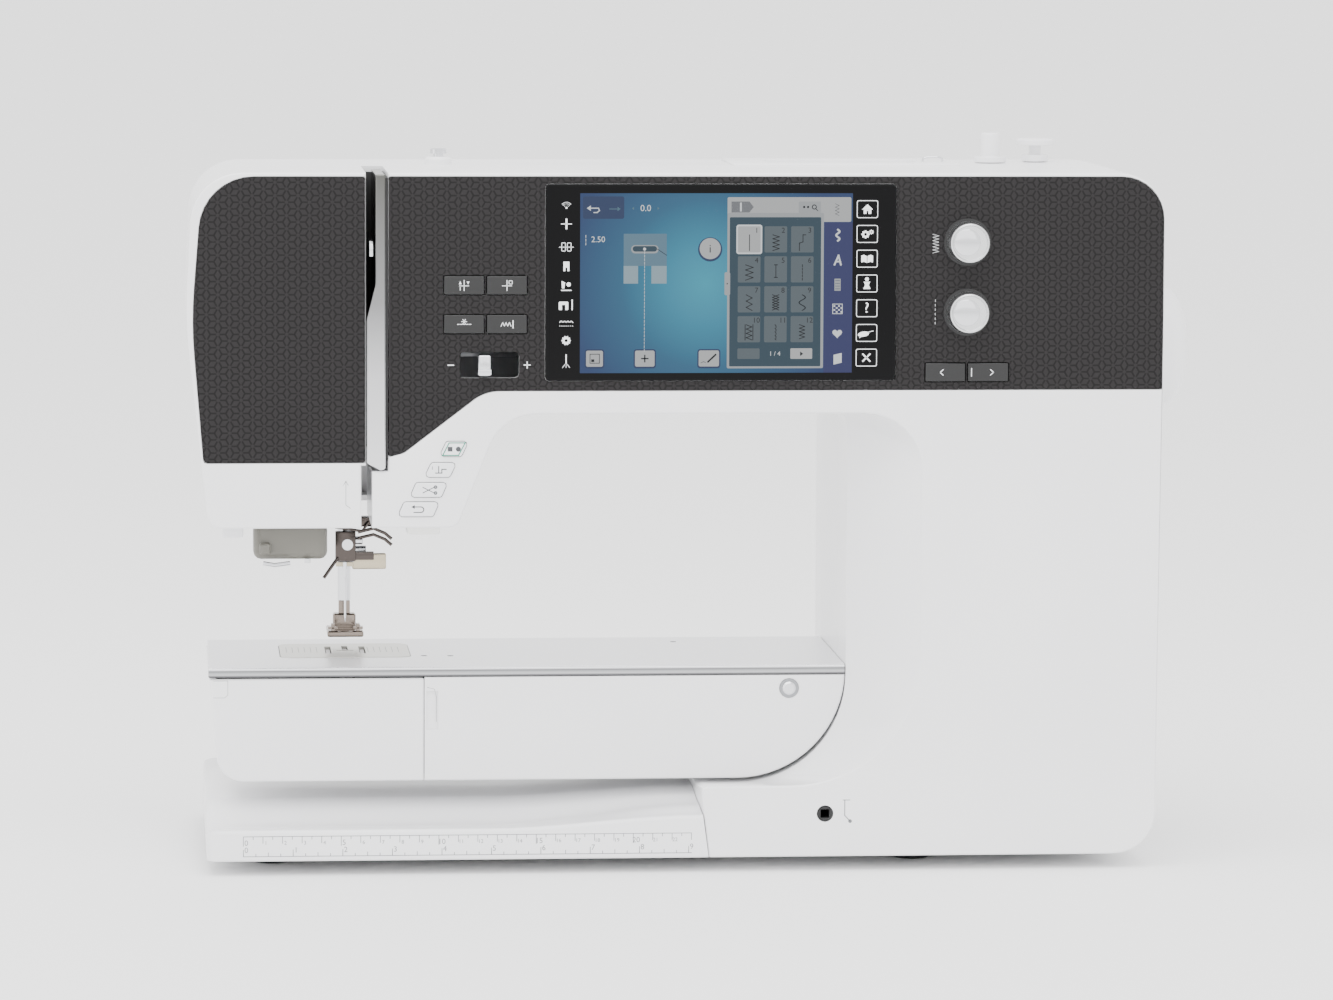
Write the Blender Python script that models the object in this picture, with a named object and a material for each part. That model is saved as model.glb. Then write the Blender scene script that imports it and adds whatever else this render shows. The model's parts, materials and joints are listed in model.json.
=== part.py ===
"""A computerised sewing machine with a long free arm, as an assembly of separate pieces.

Sizes below are in millimetres; solid() turns them into metres. X runs along the arm to the handwheel,
Y runs from the front to the rear, Z is up. The origin is on the table, below the machine's middle.
"""

import math

import bmesh
import bpy
from mathutils import Matrix, Vector

MM = 0.001

# Driving dimensions
HEAD_LEFT = -265.3
BODY_RIGHT = 235.2
HEIGHT = 360.0
FRONT = -98.0
SPLIT = -22.0
ARM_REAR = 62.0
COLUMN_REAR = 109.0
FOOT_HEIGHT = 7.7
BED_TOP = 102.5
WALL = 3.0
GAP = 0.3
EDGE = 0.8

# Head, throat and column
HEAD_BOTTOM = BED_TOP + 76.5
HEAD_RIGHT = -128.0
THROAT_TOP = HEIGHT - 123.0
THROAT_RIGHT = 76.2
THROAT_RADIUS = 26.0
SCOOP_WIDTH = 34.0
BODY_RADIUS = 24.0
SEAM_X = 1.9

# Thread slot at the head
SLOT_LEFT = -174.6
SLOT_RIGHT = -163.3
SLOT_STEP_Z = HEAD_BOTTOM + 32.0
SLOT_LOW_WIDTH = 5.6
BLADE_WIDTH = 4.9

# Free arm
ARM_LEFT = -253.0
ARM_FACE = -60.0
ARM_BACK = 59.0
BED_PLATE = 2.5
RAIL_HEIGHT = 5.0
DOOR_WIDTH = 110.0

# Base
BASE_LEFT = -256.0
LIP_TOP = 24.0
BASE_BLOCK = 32.0
BASE_SEAM_TOP = 41.0

# Fascia and screen
PANEL_TOP = HEIGHT - 2.0
PANEL_BOTTOM = HEIGHT - 111.0
PANEL_DEPTH = 1.4
HEAD_PANEL_BOTTOM = SLOT_STEP_Z + 1.5
GLASS = (-83.3, 96.2, PANEL_BOTTOM + 5.0, PANEL_TOP - 3.7)
GLASS_PROUD = 0.8

# Mechanism
SHAFT_Y = 9.0
SHAFT_Z = HEIGHT - 97.0
SHAFT_RADIUS = 5.0
NEEDLE_X = -181.9
CRANK_RADIUS = 16.0
ROD_LENGTH = 50.0
BAR_RADIUS = 3.4
WHEEL_RADIUS = 31.7
HOOK_Z = 72.0
RUN = 0.35
BELT_X = 205.0

# Controls
KNOB_RADIUS = 10.8
KNOB_X = 133.0
KNOB_Z = (PANEL_TOP - 33.3, PANEL_TOP - 69.2)
KNOB_REACH = 11.0
KEY_GAP = 0.35

WHITE = (0.86, 0.86, 0.87)
DARK = (0.06, 0.055, 0.057)
BLACK = (0.012, 0.012, 0.014)
STEEL = (0.62, 0.62, 0.6)
CAST = (0.42, 0.43, 0.45)
GLOW = (0.05, 0.30, 0.45)
RUBBER = (0.03, 0.03, 0.03)
BOARD = (0.03, 0.16, 0.08)


# ---------------------------------------------------------------- helpers
def material(name, colour, roughness, metallic=0.0):
    made = bpy.data.materials.new(name)
    made.use_nodes = True
    shader = made.node_tree.nodes["Principled BSDF"]
    shader.inputs["Base Color"].default_value = (*colour, 1.0)
    shader.inputs["Roughness"].default_value = roughness
    shader.inputs["Metallic"].default_value = metallic
    return made


def solid(name, bm, origin=(0.0, 0.0, 0.0)):
    """One object from a bmesh in millimetres, with its own origin, in metres."""
    bmesh.ops.recalc_face_normals(bm, faces=bm.faces)
    bm.transform(Matrix.Translation(-Vector(origin)))
    bm.transform(Matrix.Scale(MM, 4))
    mesh = bpy.data.meshes.new(name)
    bm.to_mesh(mesh)
    bm.free()
    obj = bpy.data.objects.new(name, mesh)
    obj.location = Vector(origin) * MM
    bpy.context.scene.collection.objects.link(obj)
    return obj


def finish(obj, colour, roughness=0.4, metallic=0.0):
    obj.data.materials.append(material(obj.name, colour, roughness, metallic))
    obj.data.shade_smooth()
    obj.data.set_sharp_from_angle(angle=math.radians(30))
    return obj


def boolean(obj, other, operation, solver="EXACT"):
    other.hide_render = True
    other.display_type = "WIRE"
    modifier = obj.modifiers.new(f"{operation} {other.name}", "BOOLEAN")
    modifier.operation = operation
    modifier.solver = solver
    modifier.object = other
    return obj


def cut(obj, *others):
    for other in others:
        boolean(obj, other, "DIFFERENCE")
    return obj


def join(obj, *others):
    for other in others:
        boolean(obj, other, "UNION")
    return obj


def loft(name, rings, origin=(0.0, 0.0, 0.0)):
    """A closed solid through rings of points, all with the same number of points, with flat ends."""
    bm = bmesh.new()
    loops = [[bm.verts.new(point) for point in ring] for ring in rings]
    for near, far in zip(loops, loops[1:]):
        for i in range(len(near)):
            j = (i + 1) % len(near)
            bm.faces.new((near[i], near[j], far[j], far[i]))
    bm.faces.new(loops[0])
    bm.faces.new(loops[-1])
    return solid(name, bm, origin)


def block(name, low, high, origin=(0.0, 0.0, 0.0), bevel=0.0, segments=1):
    bm = bmesh.new()
    bmesh.ops.create_cube(bm, size=1.0)
    size = Vector(high) - Vector(low)
    bm.transform(Matrix.Diagonal((*size, 1.0)))
    bm.transform(Matrix.Translation((Vector(high) + Vector(low)) / 2))
    if bevel:
        bmesh.ops.bevel(bm, geom=bm.edges[:], offset=bevel, segments=segments, affect="EDGES", profile=0.5)
    return solid(name, bm, origin)


def placed(axis, along, a, b):
    """A point at a distance along one axis, with its two other coordinates in X, Y, Z order."""
    return {"X": (along, a, b), "Y": (a, along, b), "Z": (a, b, along)}[axis]


def prism(name, outline, axis, start, end, edge=0.0, origin=(0.0, 0.0, 0.0)):
    """An outline extruded along an axis; edge is a small chamfer at the starting end."""
    rings = []
    if edge:
        rings.append([placed(axis, start, *p) for p in rounded(outline, edge)])
        start = start + math.copysign(edge, end - start)
    rings.append([placed(axis, start, *p) for p in rounded(outline)])
    rings.append([placed(axis, end, *p) for p in rounded(outline)])
    return loft(name, rings, origin)


def turned(name, profile, axis, centre, segments=24, origin=(0.0, 0.0, 0.0)):
    """A solid of revolution. The profile is (distance along the axis, radius), from end to end."""
    a, b = centre
    rings = []
    for along, radius in profile:
        ring = []
        for i in range(segments):
            angle = math.tau * i / segments
            ring.append(placed(axis, along, a + radius * math.cos(angle), b + radius * math.sin(angle)))
        rings.append(ring)
    return loft(name, rings, origin)


def rod(name, axis, centre, start, end, radius, segments=16, origin=(0.0, 0.0, 0.0)):
    return turned(name, [(start, radius), (end, radius)], axis, centre, segments, origin)


def arc_steps(radius):
    """How many straight pieces a corner's arc gets: few on a small one, and on a very large one that barely turns."""
    for limit, steps in ((4.0, 2), (9.5, 3), (50.0, 8), (100.0, 16)):
        if radius < limit:
            return steps
    return 4


def rounded(corners, inset=0.0):
    """The points of an anticlockwise outline of (u, v, radius) corners, moved inwards by inset."""
    count = len(corners)
    moved = []
    for i in range(count):
        here = Vector(corners[i][:2])
        back = (here - Vector(corners[i - 1][:2])).normalized()
        on = (Vector(corners[(i + 1) % count][:2]) - here).normalized()
        inward_back = Vector((-back.y, back.x))
        inward_on = Vector((-on.y, on.x))
        miter = (inward_back + inward_on) / (1.0 + inward_back.dot(inward_on))
        convex = back.x * on.y - back.y * on.x > 0
        radius = corners[i][2]
        if radius:
            radius = max(radius - inset if convex else radius + inset, 0.2)
        moved.append((here + miter * inset, back, on, radius, arc_steps(corners[i][2])))
    points = []
    for here, back, on, radius, steps in moved:
        if not radius:
            points.append((here.x, here.y))
            continue
        turn = math.atan2(back.x * on.y - back.y * on.x, back.dot(on))
        reach = radius * math.tan(abs(turn) / 2)
        side = math.copysign(1.0, turn)
        centre = here - back * reach + Vector((-back.y, back.x)) * radius * side
        first = here - back * reach - centre
        for k in range(steps + 1):
            angle = turn * k / steps
            points.append((
                centre.x + first.x * math.cos(angle) - first.y * math.sin(angle),
                centre.y + first.x * math.sin(angle) + first.y * math.cos(angle),
            ))
    return points


def ring_at(corners, y, inset=0.0):
    return [(x, y, z) for x, z in rounded(corners, inset)]


def rectangle(left, right, low, high, radius=0.0):
    return [(left, low, radius), (right, low, radius), (right, high, radius), (left, high, radius)]


# ---------------------------------------------------------------- outlines
def throat(width, radius_top, bottom, radius_bottom):
    """The corners round the throat, from the head's foot to the seam; width is the scoop's extra width."""
    right = THROAT_RIGHT + width
    return [
        (HEAD_RIGHT, HEAD_BOTTOM, 6.0),
        (HEAD_RIGHT + 23.0, THROAT_TOP, THROAT_RADIUS),
        (right, THROAT_TOP, radius_top),
        (right, bottom, radius_bottom),
        (SEAM_X - 4.5, bottom, 3.0),
        (SEAM_X, FOOT_HEIGHT, 1.0),
    ]


def body_outline(scoop):
    """The casing right of the thread slot, at the front plane with the scoop, or behind it without."""
    inner = throat(SCOOP_WIDTH, 30.0, 44.6, 66.0) if scoop else throat(0.0, 10.0, BASE_SEAM_TOP, 56.0)
    step_x = SLOT_LEFT - 2.4 + SLOT_LOW_WIDTH
    return [
        (step_x, HEAD_BOTTOM, 0.0),
        *inner,
        (BODY_RIGHT - 1.5, FOOT_HEIGHT, 22.0),
        (BODY_RIGHT, HEIGHT, BODY_RADIUS),
        (SLOT_RIGHT, HEIGHT, 0.0),
        (SLOT_RIGHT, SLOT_STEP_Z - 3.0, 0.0),
        (step_x, SLOT_STEP_Z - 3.0, 0.0),
    ]


def head_outline():
    """The casing left of the thread slot."""
    low = SLOT_LEFT - 2.4
    return [
        (HEAD_LEFT + 10.8, HEAD_BOTTOM, 7.0),
        (low, HEAD_BOTTOM, 0.0),
        (low, SLOT_STEP_Z, 0.0),
        (SLOT_LEFT, SLOT_STEP_Z, 0.0),
        (SLOT_LEFT, HEIGHT, 0.0),
        (HEAD_LEFT + 3.4, HEIGHT, 26.0),
        (HEAD_LEFT - 0.515, HEIGHT - 75.0, 220.0),
    ]


def whole_outline():
    """The rear of the casing, which runs across behind the thread slot."""
    return [
        (HEAD_LEFT + 10.8, HEAD_BOTTOM, 7.0),
        *throat(0.0, 10.0, BASE_SEAM_TOP, 56.0),
        (BODY_RIGHT - 1.5, FOOT_HEIGHT, 22.0),
        (BODY_RIGHT, HEIGHT, BODY_RADIUS),
        (HEAD_LEFT + 3.4, HEIGHT, 26.0),
        (HEAD_LEFT - 0.515, HEIGHT - 75.0, 220.0),
    ]


def panel_outline():
    """The main fascia: level above the column, and cut away over the white keys at the lower left."""
    return [
        (SLOT_RIGHT + 0.4, SLOT_STEP_Z + 4.5, 1.0),
        (SLOT_RIGHT + 8.0, SLOT_STEP_Z + 6.5, 8.0),
        (-114.0, PANEL_BOTTOM, 22.0),
        (BODY_RIGHT - 0.8, PANEL_BOTTOM, 1.0),
        (BODY_RIGHT - 0.8, PANEL_TOP, BODY_RADIUS - 2.0),
        (SLOT_RIGHT + 0.4, PANEL_TOP, 1.0),
    ]


def head_panel_outline():
    return [
        (HEAD_LEFT + 8.4, HEAD_PANEL_BOTTOM, 2.0),
        (SLOT_LEFT - 0.4, HEAD_PANEL_BOTTOM, 1.0),
        (SLOT_LEFT - 0.4, PANEL_TOP, 1.0),
        (HEAD_LEFT + 8.4, PANEL_TOP, 28.0),
        (HEAD_LEFT + 2.6, HEIGHT - 76.0, 220.0),
    ]


def inner(name, corners, y0, y1, inset):
    return loft(name, [ring_at(corners, y0, inset), ring_at(corners, y1, inset)])


# ---------------------------------------------------------------- casing
def front_cover():
    scooped = body_outline(True)
    plain = body_outline(False)
    cover = loft("front_cover", [
        ring_at(scooped, FRONT, EDGE),
        ring_at(scooped, FRONT + EDGE),
        ring_at(plain, ARM_FACE),
        ring_at(plain, SPLIT),
    ])
    hollow = loft("front_hollow", [
        ring_at(scooped, FRONT + WALL, WALL),
        ring_at(plain, ARM_FACE + 1.0, WALL),
        ring_at(plain, SPLIT + 5.0, WALL),
    ])
    cut(cover, hollow)
    cut(cover, inner("panel_pocket", widened(panel_outline()), FRONT - 5.0, FRONT + PANEL_DEPTH + GAP, 0.0))
    left, right, low, high = GLASS
    window = rectangle(left + 6.0, right - 6.0, low + 6.0, high - 6.0)
    cut(cover, inner("screen_window", window, FRONT - 5.0, FRONT + WALL + 5.0, 0.0))
    for name, pose in KNOBS.items():
        cut(cover, rod(f"{name}_hole", "Y", pose, FRONT - 5.0, FRONT + 9.0, 3.0 + RUN))
    for name, outline in KEYS.items():
        cut(cover, inner(f"{name}_hole", outline, FRONT - 5.0, FRONT + 9.0, -KEY_GAP))
    for name, outline in BUTTONS.items():
        cut(cover, inner(f"{name}_hole", outline, FRONT - 5.0, FRONT + 9.0, -KEY_GAP - 0.3))
    cut(cover, inner("slider_hole", SLIDER_RECESS, FRONT - 5.0, FRONT + 9.0, 0.0))
    cut(cover, rod("knee_hole", "Y", KNEE, FRONT - 5.0, FRONT + 20.0, KNEE_RADIUS + RUN))
    cut(cover, block("light_hole", (-153.0, -70.0, HEAD_BOTTOM - 9.0), (-135.0, -46.0, HEAD_BOTTOM + 11.0)))
    cut(cover, rod("wheel_hole", "X", (SHAFT_Y, SHAFT_Z), BODY_RIGHT - 10.2, BODY_RIGHT + 4.8, SHAFT_RADIUS + 2.0, 24))
    return finish(cover, WHITE, 0.28)


def widened(corners, by=GAP):
    """The same outline, larger all round."""
    return [(x, y, radius) for (x, y), radius in zip(corner_offsets(corners, -by), [c[2] for c in corners])]


def corner_offsets(corners, inset):
    moved = []
    for i, corner in enumerate(corners):
        here = Vector(corner[:2])
        back = (here - Vector(corners[i - 1][:2])).normalized()
        on = (Vector(corners[(i + 1) % len(corners)][:2]) - here).normalized()
        a = Vector((-back.y, back.x))
        b = Vector((-on.y, on.x))
        shift = (a + b) / (1.0 + a.dot(b)) * inset
        moved.append((here.x + shift.x, here.y + shift.y))
    return moved


def head_cover():
    outline = head_outline()
    cover = loft("head_cover", [
        ring_at(outline, FRONT, EDGE),
        ring_at(outline, FRONT + EDGE),
        ring_at(outline, SPLIT),
    ])
    cut(cover, inner("head_hollow", outline, FRONT + WALL, SPLIT + 5.0, WALL))
    pocket = widened(head_panel_outline())
    cut(cover, inner("head_pocket", pocket, FRONT - 5.0, FRONT + PANEL_DEPTH + GAP, 0.0))
    cut(cover, block("threader_gap", (-232.0, -46.0, HEAD_BOTTOM - 9.0), (-184.0, SPLIT + 1.0, HEAD_BOTTOM + 11.0)))
    return finish(cover, WHITE, 0.28)


def rear_cover():
    outline = whole_outline()
    start = SPLIT + GAP
    cover = loft("rear_cover", [
        ring_at(outline, start),
        ring_at(outline, ARM_REAR - 6.0),
        ring_at(outline, ARM_REAR - 1.8, 1.8),
        ring_at(outline, ARM_REAR, 6.0),
    ])
    cut(cover, inner("rear_hollow", outline, start - 5.0, ARM_REAR - WALL, WALL))
    mouth = block("foot_mouth", (-215.0, start - 5.0, HEAD_BOTTOM - 9.0), (-150.0, 42.0, HEAD_BOTTOM + 11.0))
    cut(cover, mouth)
    wheel_hole = rod("rear_wheel_hole", "X", (SHAFT_Y, SHAFT_Z), BODY_RIGHT - 10.2, BODY_RIGHT + 4.8, SHAFT_RADIUS + 2.0, 24)
    cut(cover, wheel_hole)
    lifter_slot = block("lifter_slot", (-160.0, 50.0, HEAD_BOTTOM + 7.0), (-150.0, 70.0, HEAD_BOTTOM + 35.0))
    cut(cover, lifter_slot)
    cut(cover, block("lid_recess", (LID[0], -14.0, HEIGHT - 2.0), (LID[1], 52.6, HEIGHT + 5.0)))
    for name, place in TOP_HOLES.items():
        cut(cover, rod(f"{name}_hole", "Z", place, HEIGHT - 12.0, HEIGHT + 5.0, TOP_HOLE_RADIUS))
    cut(cover, block("column_way", (100.0, ARM_REAR - 8.0, 40.0), (BODY_RIGHT - 20.2, ARM_REAR + 5.0, HEIGHT - 60.0)))
    cut(cover, block("arm_way", (ARM_WAY[0], *ARM_WAY[2:4]), (ARM_WAY[1], *ARM_WAY[4:6])))
    for name, (low, high) in PORTS.items():
        cut(cover, block(f"{name}_cut", (BODY_RIGHT - 15.2, *low), (BODY_RIGHT + 4.8, *high)))
    return finish(cover, WHITE, 0.28)


def column_cover():
    """The deeper rear half of the column, with louvres for the motor's air."""
    start = ARM_REAR + GAP
    outline = [
        (THROAT_RIGHT + 2.0, FOOT_HEIGHT, 4.0),
        (BODY_RIGHT - 3.5, FOOT_HEIGHT, 20.0),
        (BODY_RIGHT - 2.5, HEIGHT - 20.0, 20.0),
        (THROAT_RIGHT + 2.0, HEIGHT - 20.0, 12.0),
    ]
    cover = loft("column_rear_cover", [
        ring_at(outline, start),
        ring_at(outline, COLUMN_REAR - 6.0),
        ring_at(outline, COLUMN_REAR - 1.8, 1.8),
        ring_at(outline, COLUMN_REAR, 6.0),
    ])
    cut(cover, inner("column_hollow", outline, start - 5.0, COLUMN_REAR - WALL, WALL))
    for i in range(5):
        z = 60.0 + 8.0 * i
        cut(cover, block(f"louvre_{i}", (120.0, COLUMN_REAR - 8.0, z), (190.0, COLUMN_REAR + 5.0, z + 3.5)))
    return finish(cover, WHITE, 0.28)


def base():
    """The low table left of the seam: a front lip, a ramp that climbs to the seam, and a rear block."""
    low = FOOT_HEIGHT
    right = SEAM_X - GAP

    def section(x, lip, valley, block_top, front):
        return [
            (x, front, low),
            (x, front, lip - 2.0),
            (x, front + 2.0, lip),
            (x, ARM_FACE - 14.0, valley),
            (x, ARM_FACE, valley + (block_top - valley) * 0.25),
            (x, ARM_FACE + 24.0, block_top),
            (x, COLUMN_REAR - 3.0, block_top),
            (x, COLUMN_REAR, block_top - 3.0),
            (x, COLUMN_REAR, low),
        ]

    plate = loft("base", [
        section(BASE_LEFT + 4.0, LIP_TOP - 3.0, LIP_TOP - 4.0, BASE_BLOCK - 4.0, FRONT + 6.0),
        section(BASE_LEFT, LIP_TOP - 1.0, LIP_TOP - 2.0, BASE_BLOCK - 1.0, FRONT + 8.0),
        section(BASE_LEFT + 12.0, LIP_TOP, LIP_TOP - 2.0, BASE_BLOCK, FRONT + EDGE),
        section(-90.0, LIP_TOP, LIP_TOP - 2.0, BASE_BLOCK, FRONT),
        section(-45.0, LIP_TOP + 1.0, LIP_TOP + 3.0, BASE_BLOCK + 1.0, FRONT),
        section(right - 4.3, LIP_TOP + 6.0, LIP_TOP + 10.0, BASE_SEAM_TOP - 4.0, FRONT),
    ])
    hollow = block("base_hollow", (BASE_LEFT + 14.0, FRONT + 5.0, 0.0), (-10.0, COLUMN_REAR - 5.0, 17.0))
    cut(plate, hollow)
    return finish(plate, WHITE, 0.3)


def bottom_plate():
    plate = block(
        "bottom_plate",
        (BASE_LEFT + 15.0, FRONT + 6.0, FOOT_HEIGHT + 0.5),
        (-11.0, COLUMN_REAR - 6.0, FOOT_HEIGHT + 2.5),
    )
    return finish(plate, STEEL, 0.4, 0.8)


def feet():
    places = {
        "foot_front_left": (BASE_LEFT + 34.0, FRONT + 50.0, 8.0),
        "foot_rear_left": (BASE_LEFT + 34.0, COLUMN_REAR - 26.0, 8.0),
        "foot_front_right": (112.0, FRONT + 46.0, FOOT_HEIGHT - GAP),
        "foot_rear_right": (150.0, 40.0, FOOT_HEIGHT - GAP),
    }
    for name, (x, y, top) in places.items():
        top = min(top, FOOT_HEIGHT)
        profile = [(0.0, 9.0), (1.5, 11.0), (top, 11.0)]
        finish(turned(name, profile, "Z", (x, y), 20), RUBBER, 0.8)


# ---------------------------------------------------------------- fascia and controls
KNOBS = {"stitch_width_knob": (KNOB_X, KNOB_Z[0]), "stitch_length_knob": (KNOB_X, KNOB_Z[1])}
KNEE = (61.7, 30.0)
KNEE_RADIUS = 4.0
SLIDER_RECESS = rectangle(-126.6, -96.6, PANEL_BOTTOM + 6.6, PANEL_BOTTOM + 19.9, 2.0)
LID = (20.0, 140.0)
TOP_HOLES = {
    "spool_pin": (160.3, 18.0),
    "bobbin_winder": (186.0, 30.0),
}
TOP_HOLE_RADIUS = 5.2 + RUN
PORTS = {
    "power_inlet": ((-14.0, 38.0), (14.0, 62.0)),
    "power_switch": ((22.0, 40.0), (44.0, 60.0)),
}


def slanted_key(left, right, low, high, lean):
    """A parallelogram with its corners rounded; lean is how far its top is pushed to the right."""
    return [(left, low, 1.5), (right, low, 1.5), (right + lean, high, 1.5), (left + lean, high, 1.5)]


KEYS = {
    "start_stop_key": slanted_key(-137.2, -126.0, HEAD_BOTTOM + 36.6, HEAD_BOTTOM + 44.2, 3.6),
    "presser_foot_key": slanted_key(-144.8, -132.0, HEAD_BOTTOM + 26.0, HEAD_BOTTOM + 33.4, 3.6),
    "thread_cutter_key": slanted_key(-152.2, -136.2, HEAD_BOTTOM + 15.8, HEAD_BOTTOM + 23.2, 3.2),
    "reverse_key": slanted_key(-158.4, -140.4, HEAD_BOTTOM + 5.9, HEAD_BOTTOM + 13.3, 3.2),
}
BUTTONS = {
    "needle_up_down_button": rectangle(-135.0, -114.4, PANEL_TOP - 59.9, PANEL_TOP - 50.4, 0.6),
    "needle_stop_button": rectangle(-113.2, -92.6, PANEL_TOP - 59.9, PANEL_TOP - 50.4, 0.6),
    "securing_button": rectangle(-135.0, -114.4, PANEL_TOP - 79.7, PANEL_TOP - 70.2, 0.6),
    "pattern_end_button": rectangle(-113.2, -92.6, PANEL_TOP - 79.7, PANEL_TOP - 70.2, 0.6),
    "needle_left_button": rectangle(111.7, 132.4, PANEL_BOTTOM + 4.2, PANEL_BOTTOM + 13.7, 0.6),
    "needle_right_button": rectangle(133.6, 154.6, PANEL_BOTTOM + 4.2, PANEL_BOTTOM + 13.7, 0.6),
}


def fascia_panel():
    panel = inner("fascia_panel", panel_outline(), FRONT, FRONT + PANEL_DEPTH, 0.0)
    left, right, low, high = GLASS
    cut(panel, inner("glass_cut", rectangle(left, right, low, high, 2.0), FRONT - 5.0, FRONT + 5.0, -GAP))
    for name, outline in BUTTONS.items():
        cut(panel, inner(f"{name}_panel_cut", outline, FRONT - 5.0, FRONT + 5.0, -KEY_GAP))
    cut(panel, inner("slider_panel_cut", SLIDER_RECESS, FRONT - 5.0, FRONT + 5.0, 0.0))
    for name, pose in KNOBS.items():
        cut(panel, rod(f"{name}_panel_cut", "Y", pose, FRONT - 5.0, FRONT + 5.0, 3.0 + RUN))
    return finish(panel, DARK, 0.45)


def head_panel():
    return finish(inner("head_fascia", head_panel_outline(), FRONT, FRONT + PANEL_DEPTH, 0.0), DARK, 0.45)


def screen():
    left, right, low, high = GLASS
    outline = rectangle(left, right, low, high, 2.0)
    glass = prism("screen_glass", outline, "Y", FRONT - GLASS_PROUD, FRONT + PANEL_DEPTH, 0.3)
    finish(glass, BLACK, 0.05)
    module = block(
        "display_module",
        (left + 6.0 + GAP, FRONT + PANEL_DEPTH + GAP, low + 6.0 + GAP),
        (right - 6.0 - GAP, FRONT + 10.0, high - 6.0 - GAP),
    )
    finish(module, GLOW, 0.3)
    board = block("control_board", (-90.0, FRONT + 14.0, low + 2.0), (150.0, FRONT + 16.0, high - 4.3))
    finish(board, BOARD, 0.5)


def knobs():
    face = FRONT - KNOB_REACH
    for name, centre in KNOBS.items():
        profile = [
            (face, KNOB_RADIUS - 2.0),
            (face + 0.8, KNOB_RADIUS - 0.8),
            (face + 2.0, KNOB_RADIUS - 0.3),
            (FRONT - 0.5, KNOB_RADIUS),
            (FRONT - 0.5, 3.0),
            (FRONT + 8.0, 3.0),
        ]
        origin = (centre[0], FRONT, centre[1])
        finish(turned(name, profile, "Y", centre, 32, origin), STEEL, 0.3, 0.9)


def keys_and_buttons():
    for name, outline in KEYS.items():
        finish(prism(name, outline, "Y", FRONT - 1.2, FRONT + 6.0, 0.5, origin=(0.0, FRONT, 0.0)), WHITE, 0.3)
    for name, outline in BUTTONS.items():
        finish(prism(name, outline, "Y", FRONT - 0.8, FRONT + 6.0, 0.4, origin=(0.0, FRONT, 0.0)), BLACK, 0.2)


def speed_slider():
    x = -114.4
    middle = PANEL_BOTTOM + 13.2
    slider = block("speed_slider", (x - 3.3, FRONT - 5.0, middle - 5.4), (x + 3.3, FRONT + 1.5, middle + 5.4), (x, FRONT, middle), 1.0, 2)
    join(slider, block("slider_stem", (x - 2.0, FRONT + 0.5, middle - 3.2), (x + 2.0, FRONT + 9.0, middle + 2.8)))
    return finish(slider, STEEL, 0.15, 1.0)


def lever_trim():
    """The metal blade along the thread slot's right side; its face widens below to close the slot."""
    right = SLOT_RIGHT - 1.4
    left = right - BLADE_WIDTH
    low = SLOT_STEP_Z - 3.0 + GAP
    wide = SLOT_LEFT + 0.5
    face = [
        (wide, low + 4.0, 2.0),
        (right - 2.0, low, 2.0),
        (right, low + 1.5, 1.0),
        (right, HEIGHT - 0.8, 0.5),
        (left, HEIGHT - 0.8, 0.5),
        (left, FLARE_TOP, 9.0),
        (wide, FLARE_TOP - 18.0, 9.0),
    ]
    trim = prism("lever_trim", face, "Y", FRONT - 1.5, FRONT + 3.5, 0.6)
    join(trim, block("trim_web", (left + 0.2, FRONT + 2.0, low + 4.0), (right - 0.2, SPLIT - 8.0, HEIGHT - 1.2)))
    return finish(trim, STEEL, 0.25, 1.0)


FLARE_TOP = HEIGHT - 56.5


# ---------------------------------------------------------------- free arm
def arm_outline():
    """The free arm seen from the front; its right end nests in the throat's lower corner."""
    right = THROAT_RIGHT - GAP
    low = BASE_SEAM_TOP + 2.0 + GAP
    return [
        (ARM_LEFT + 3.4, low, 14.0),
        (right, low, 56.0),
        (right, BED_TOP - BED_PLATE - GAP, 0.0),
        (ARM_LEFT - 1.5, BED_TOP - BED_PLATE - GAP, 0.0),
        (ARM_LEFT, BED_TOP - 12.5, 0.0),
    ]


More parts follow.
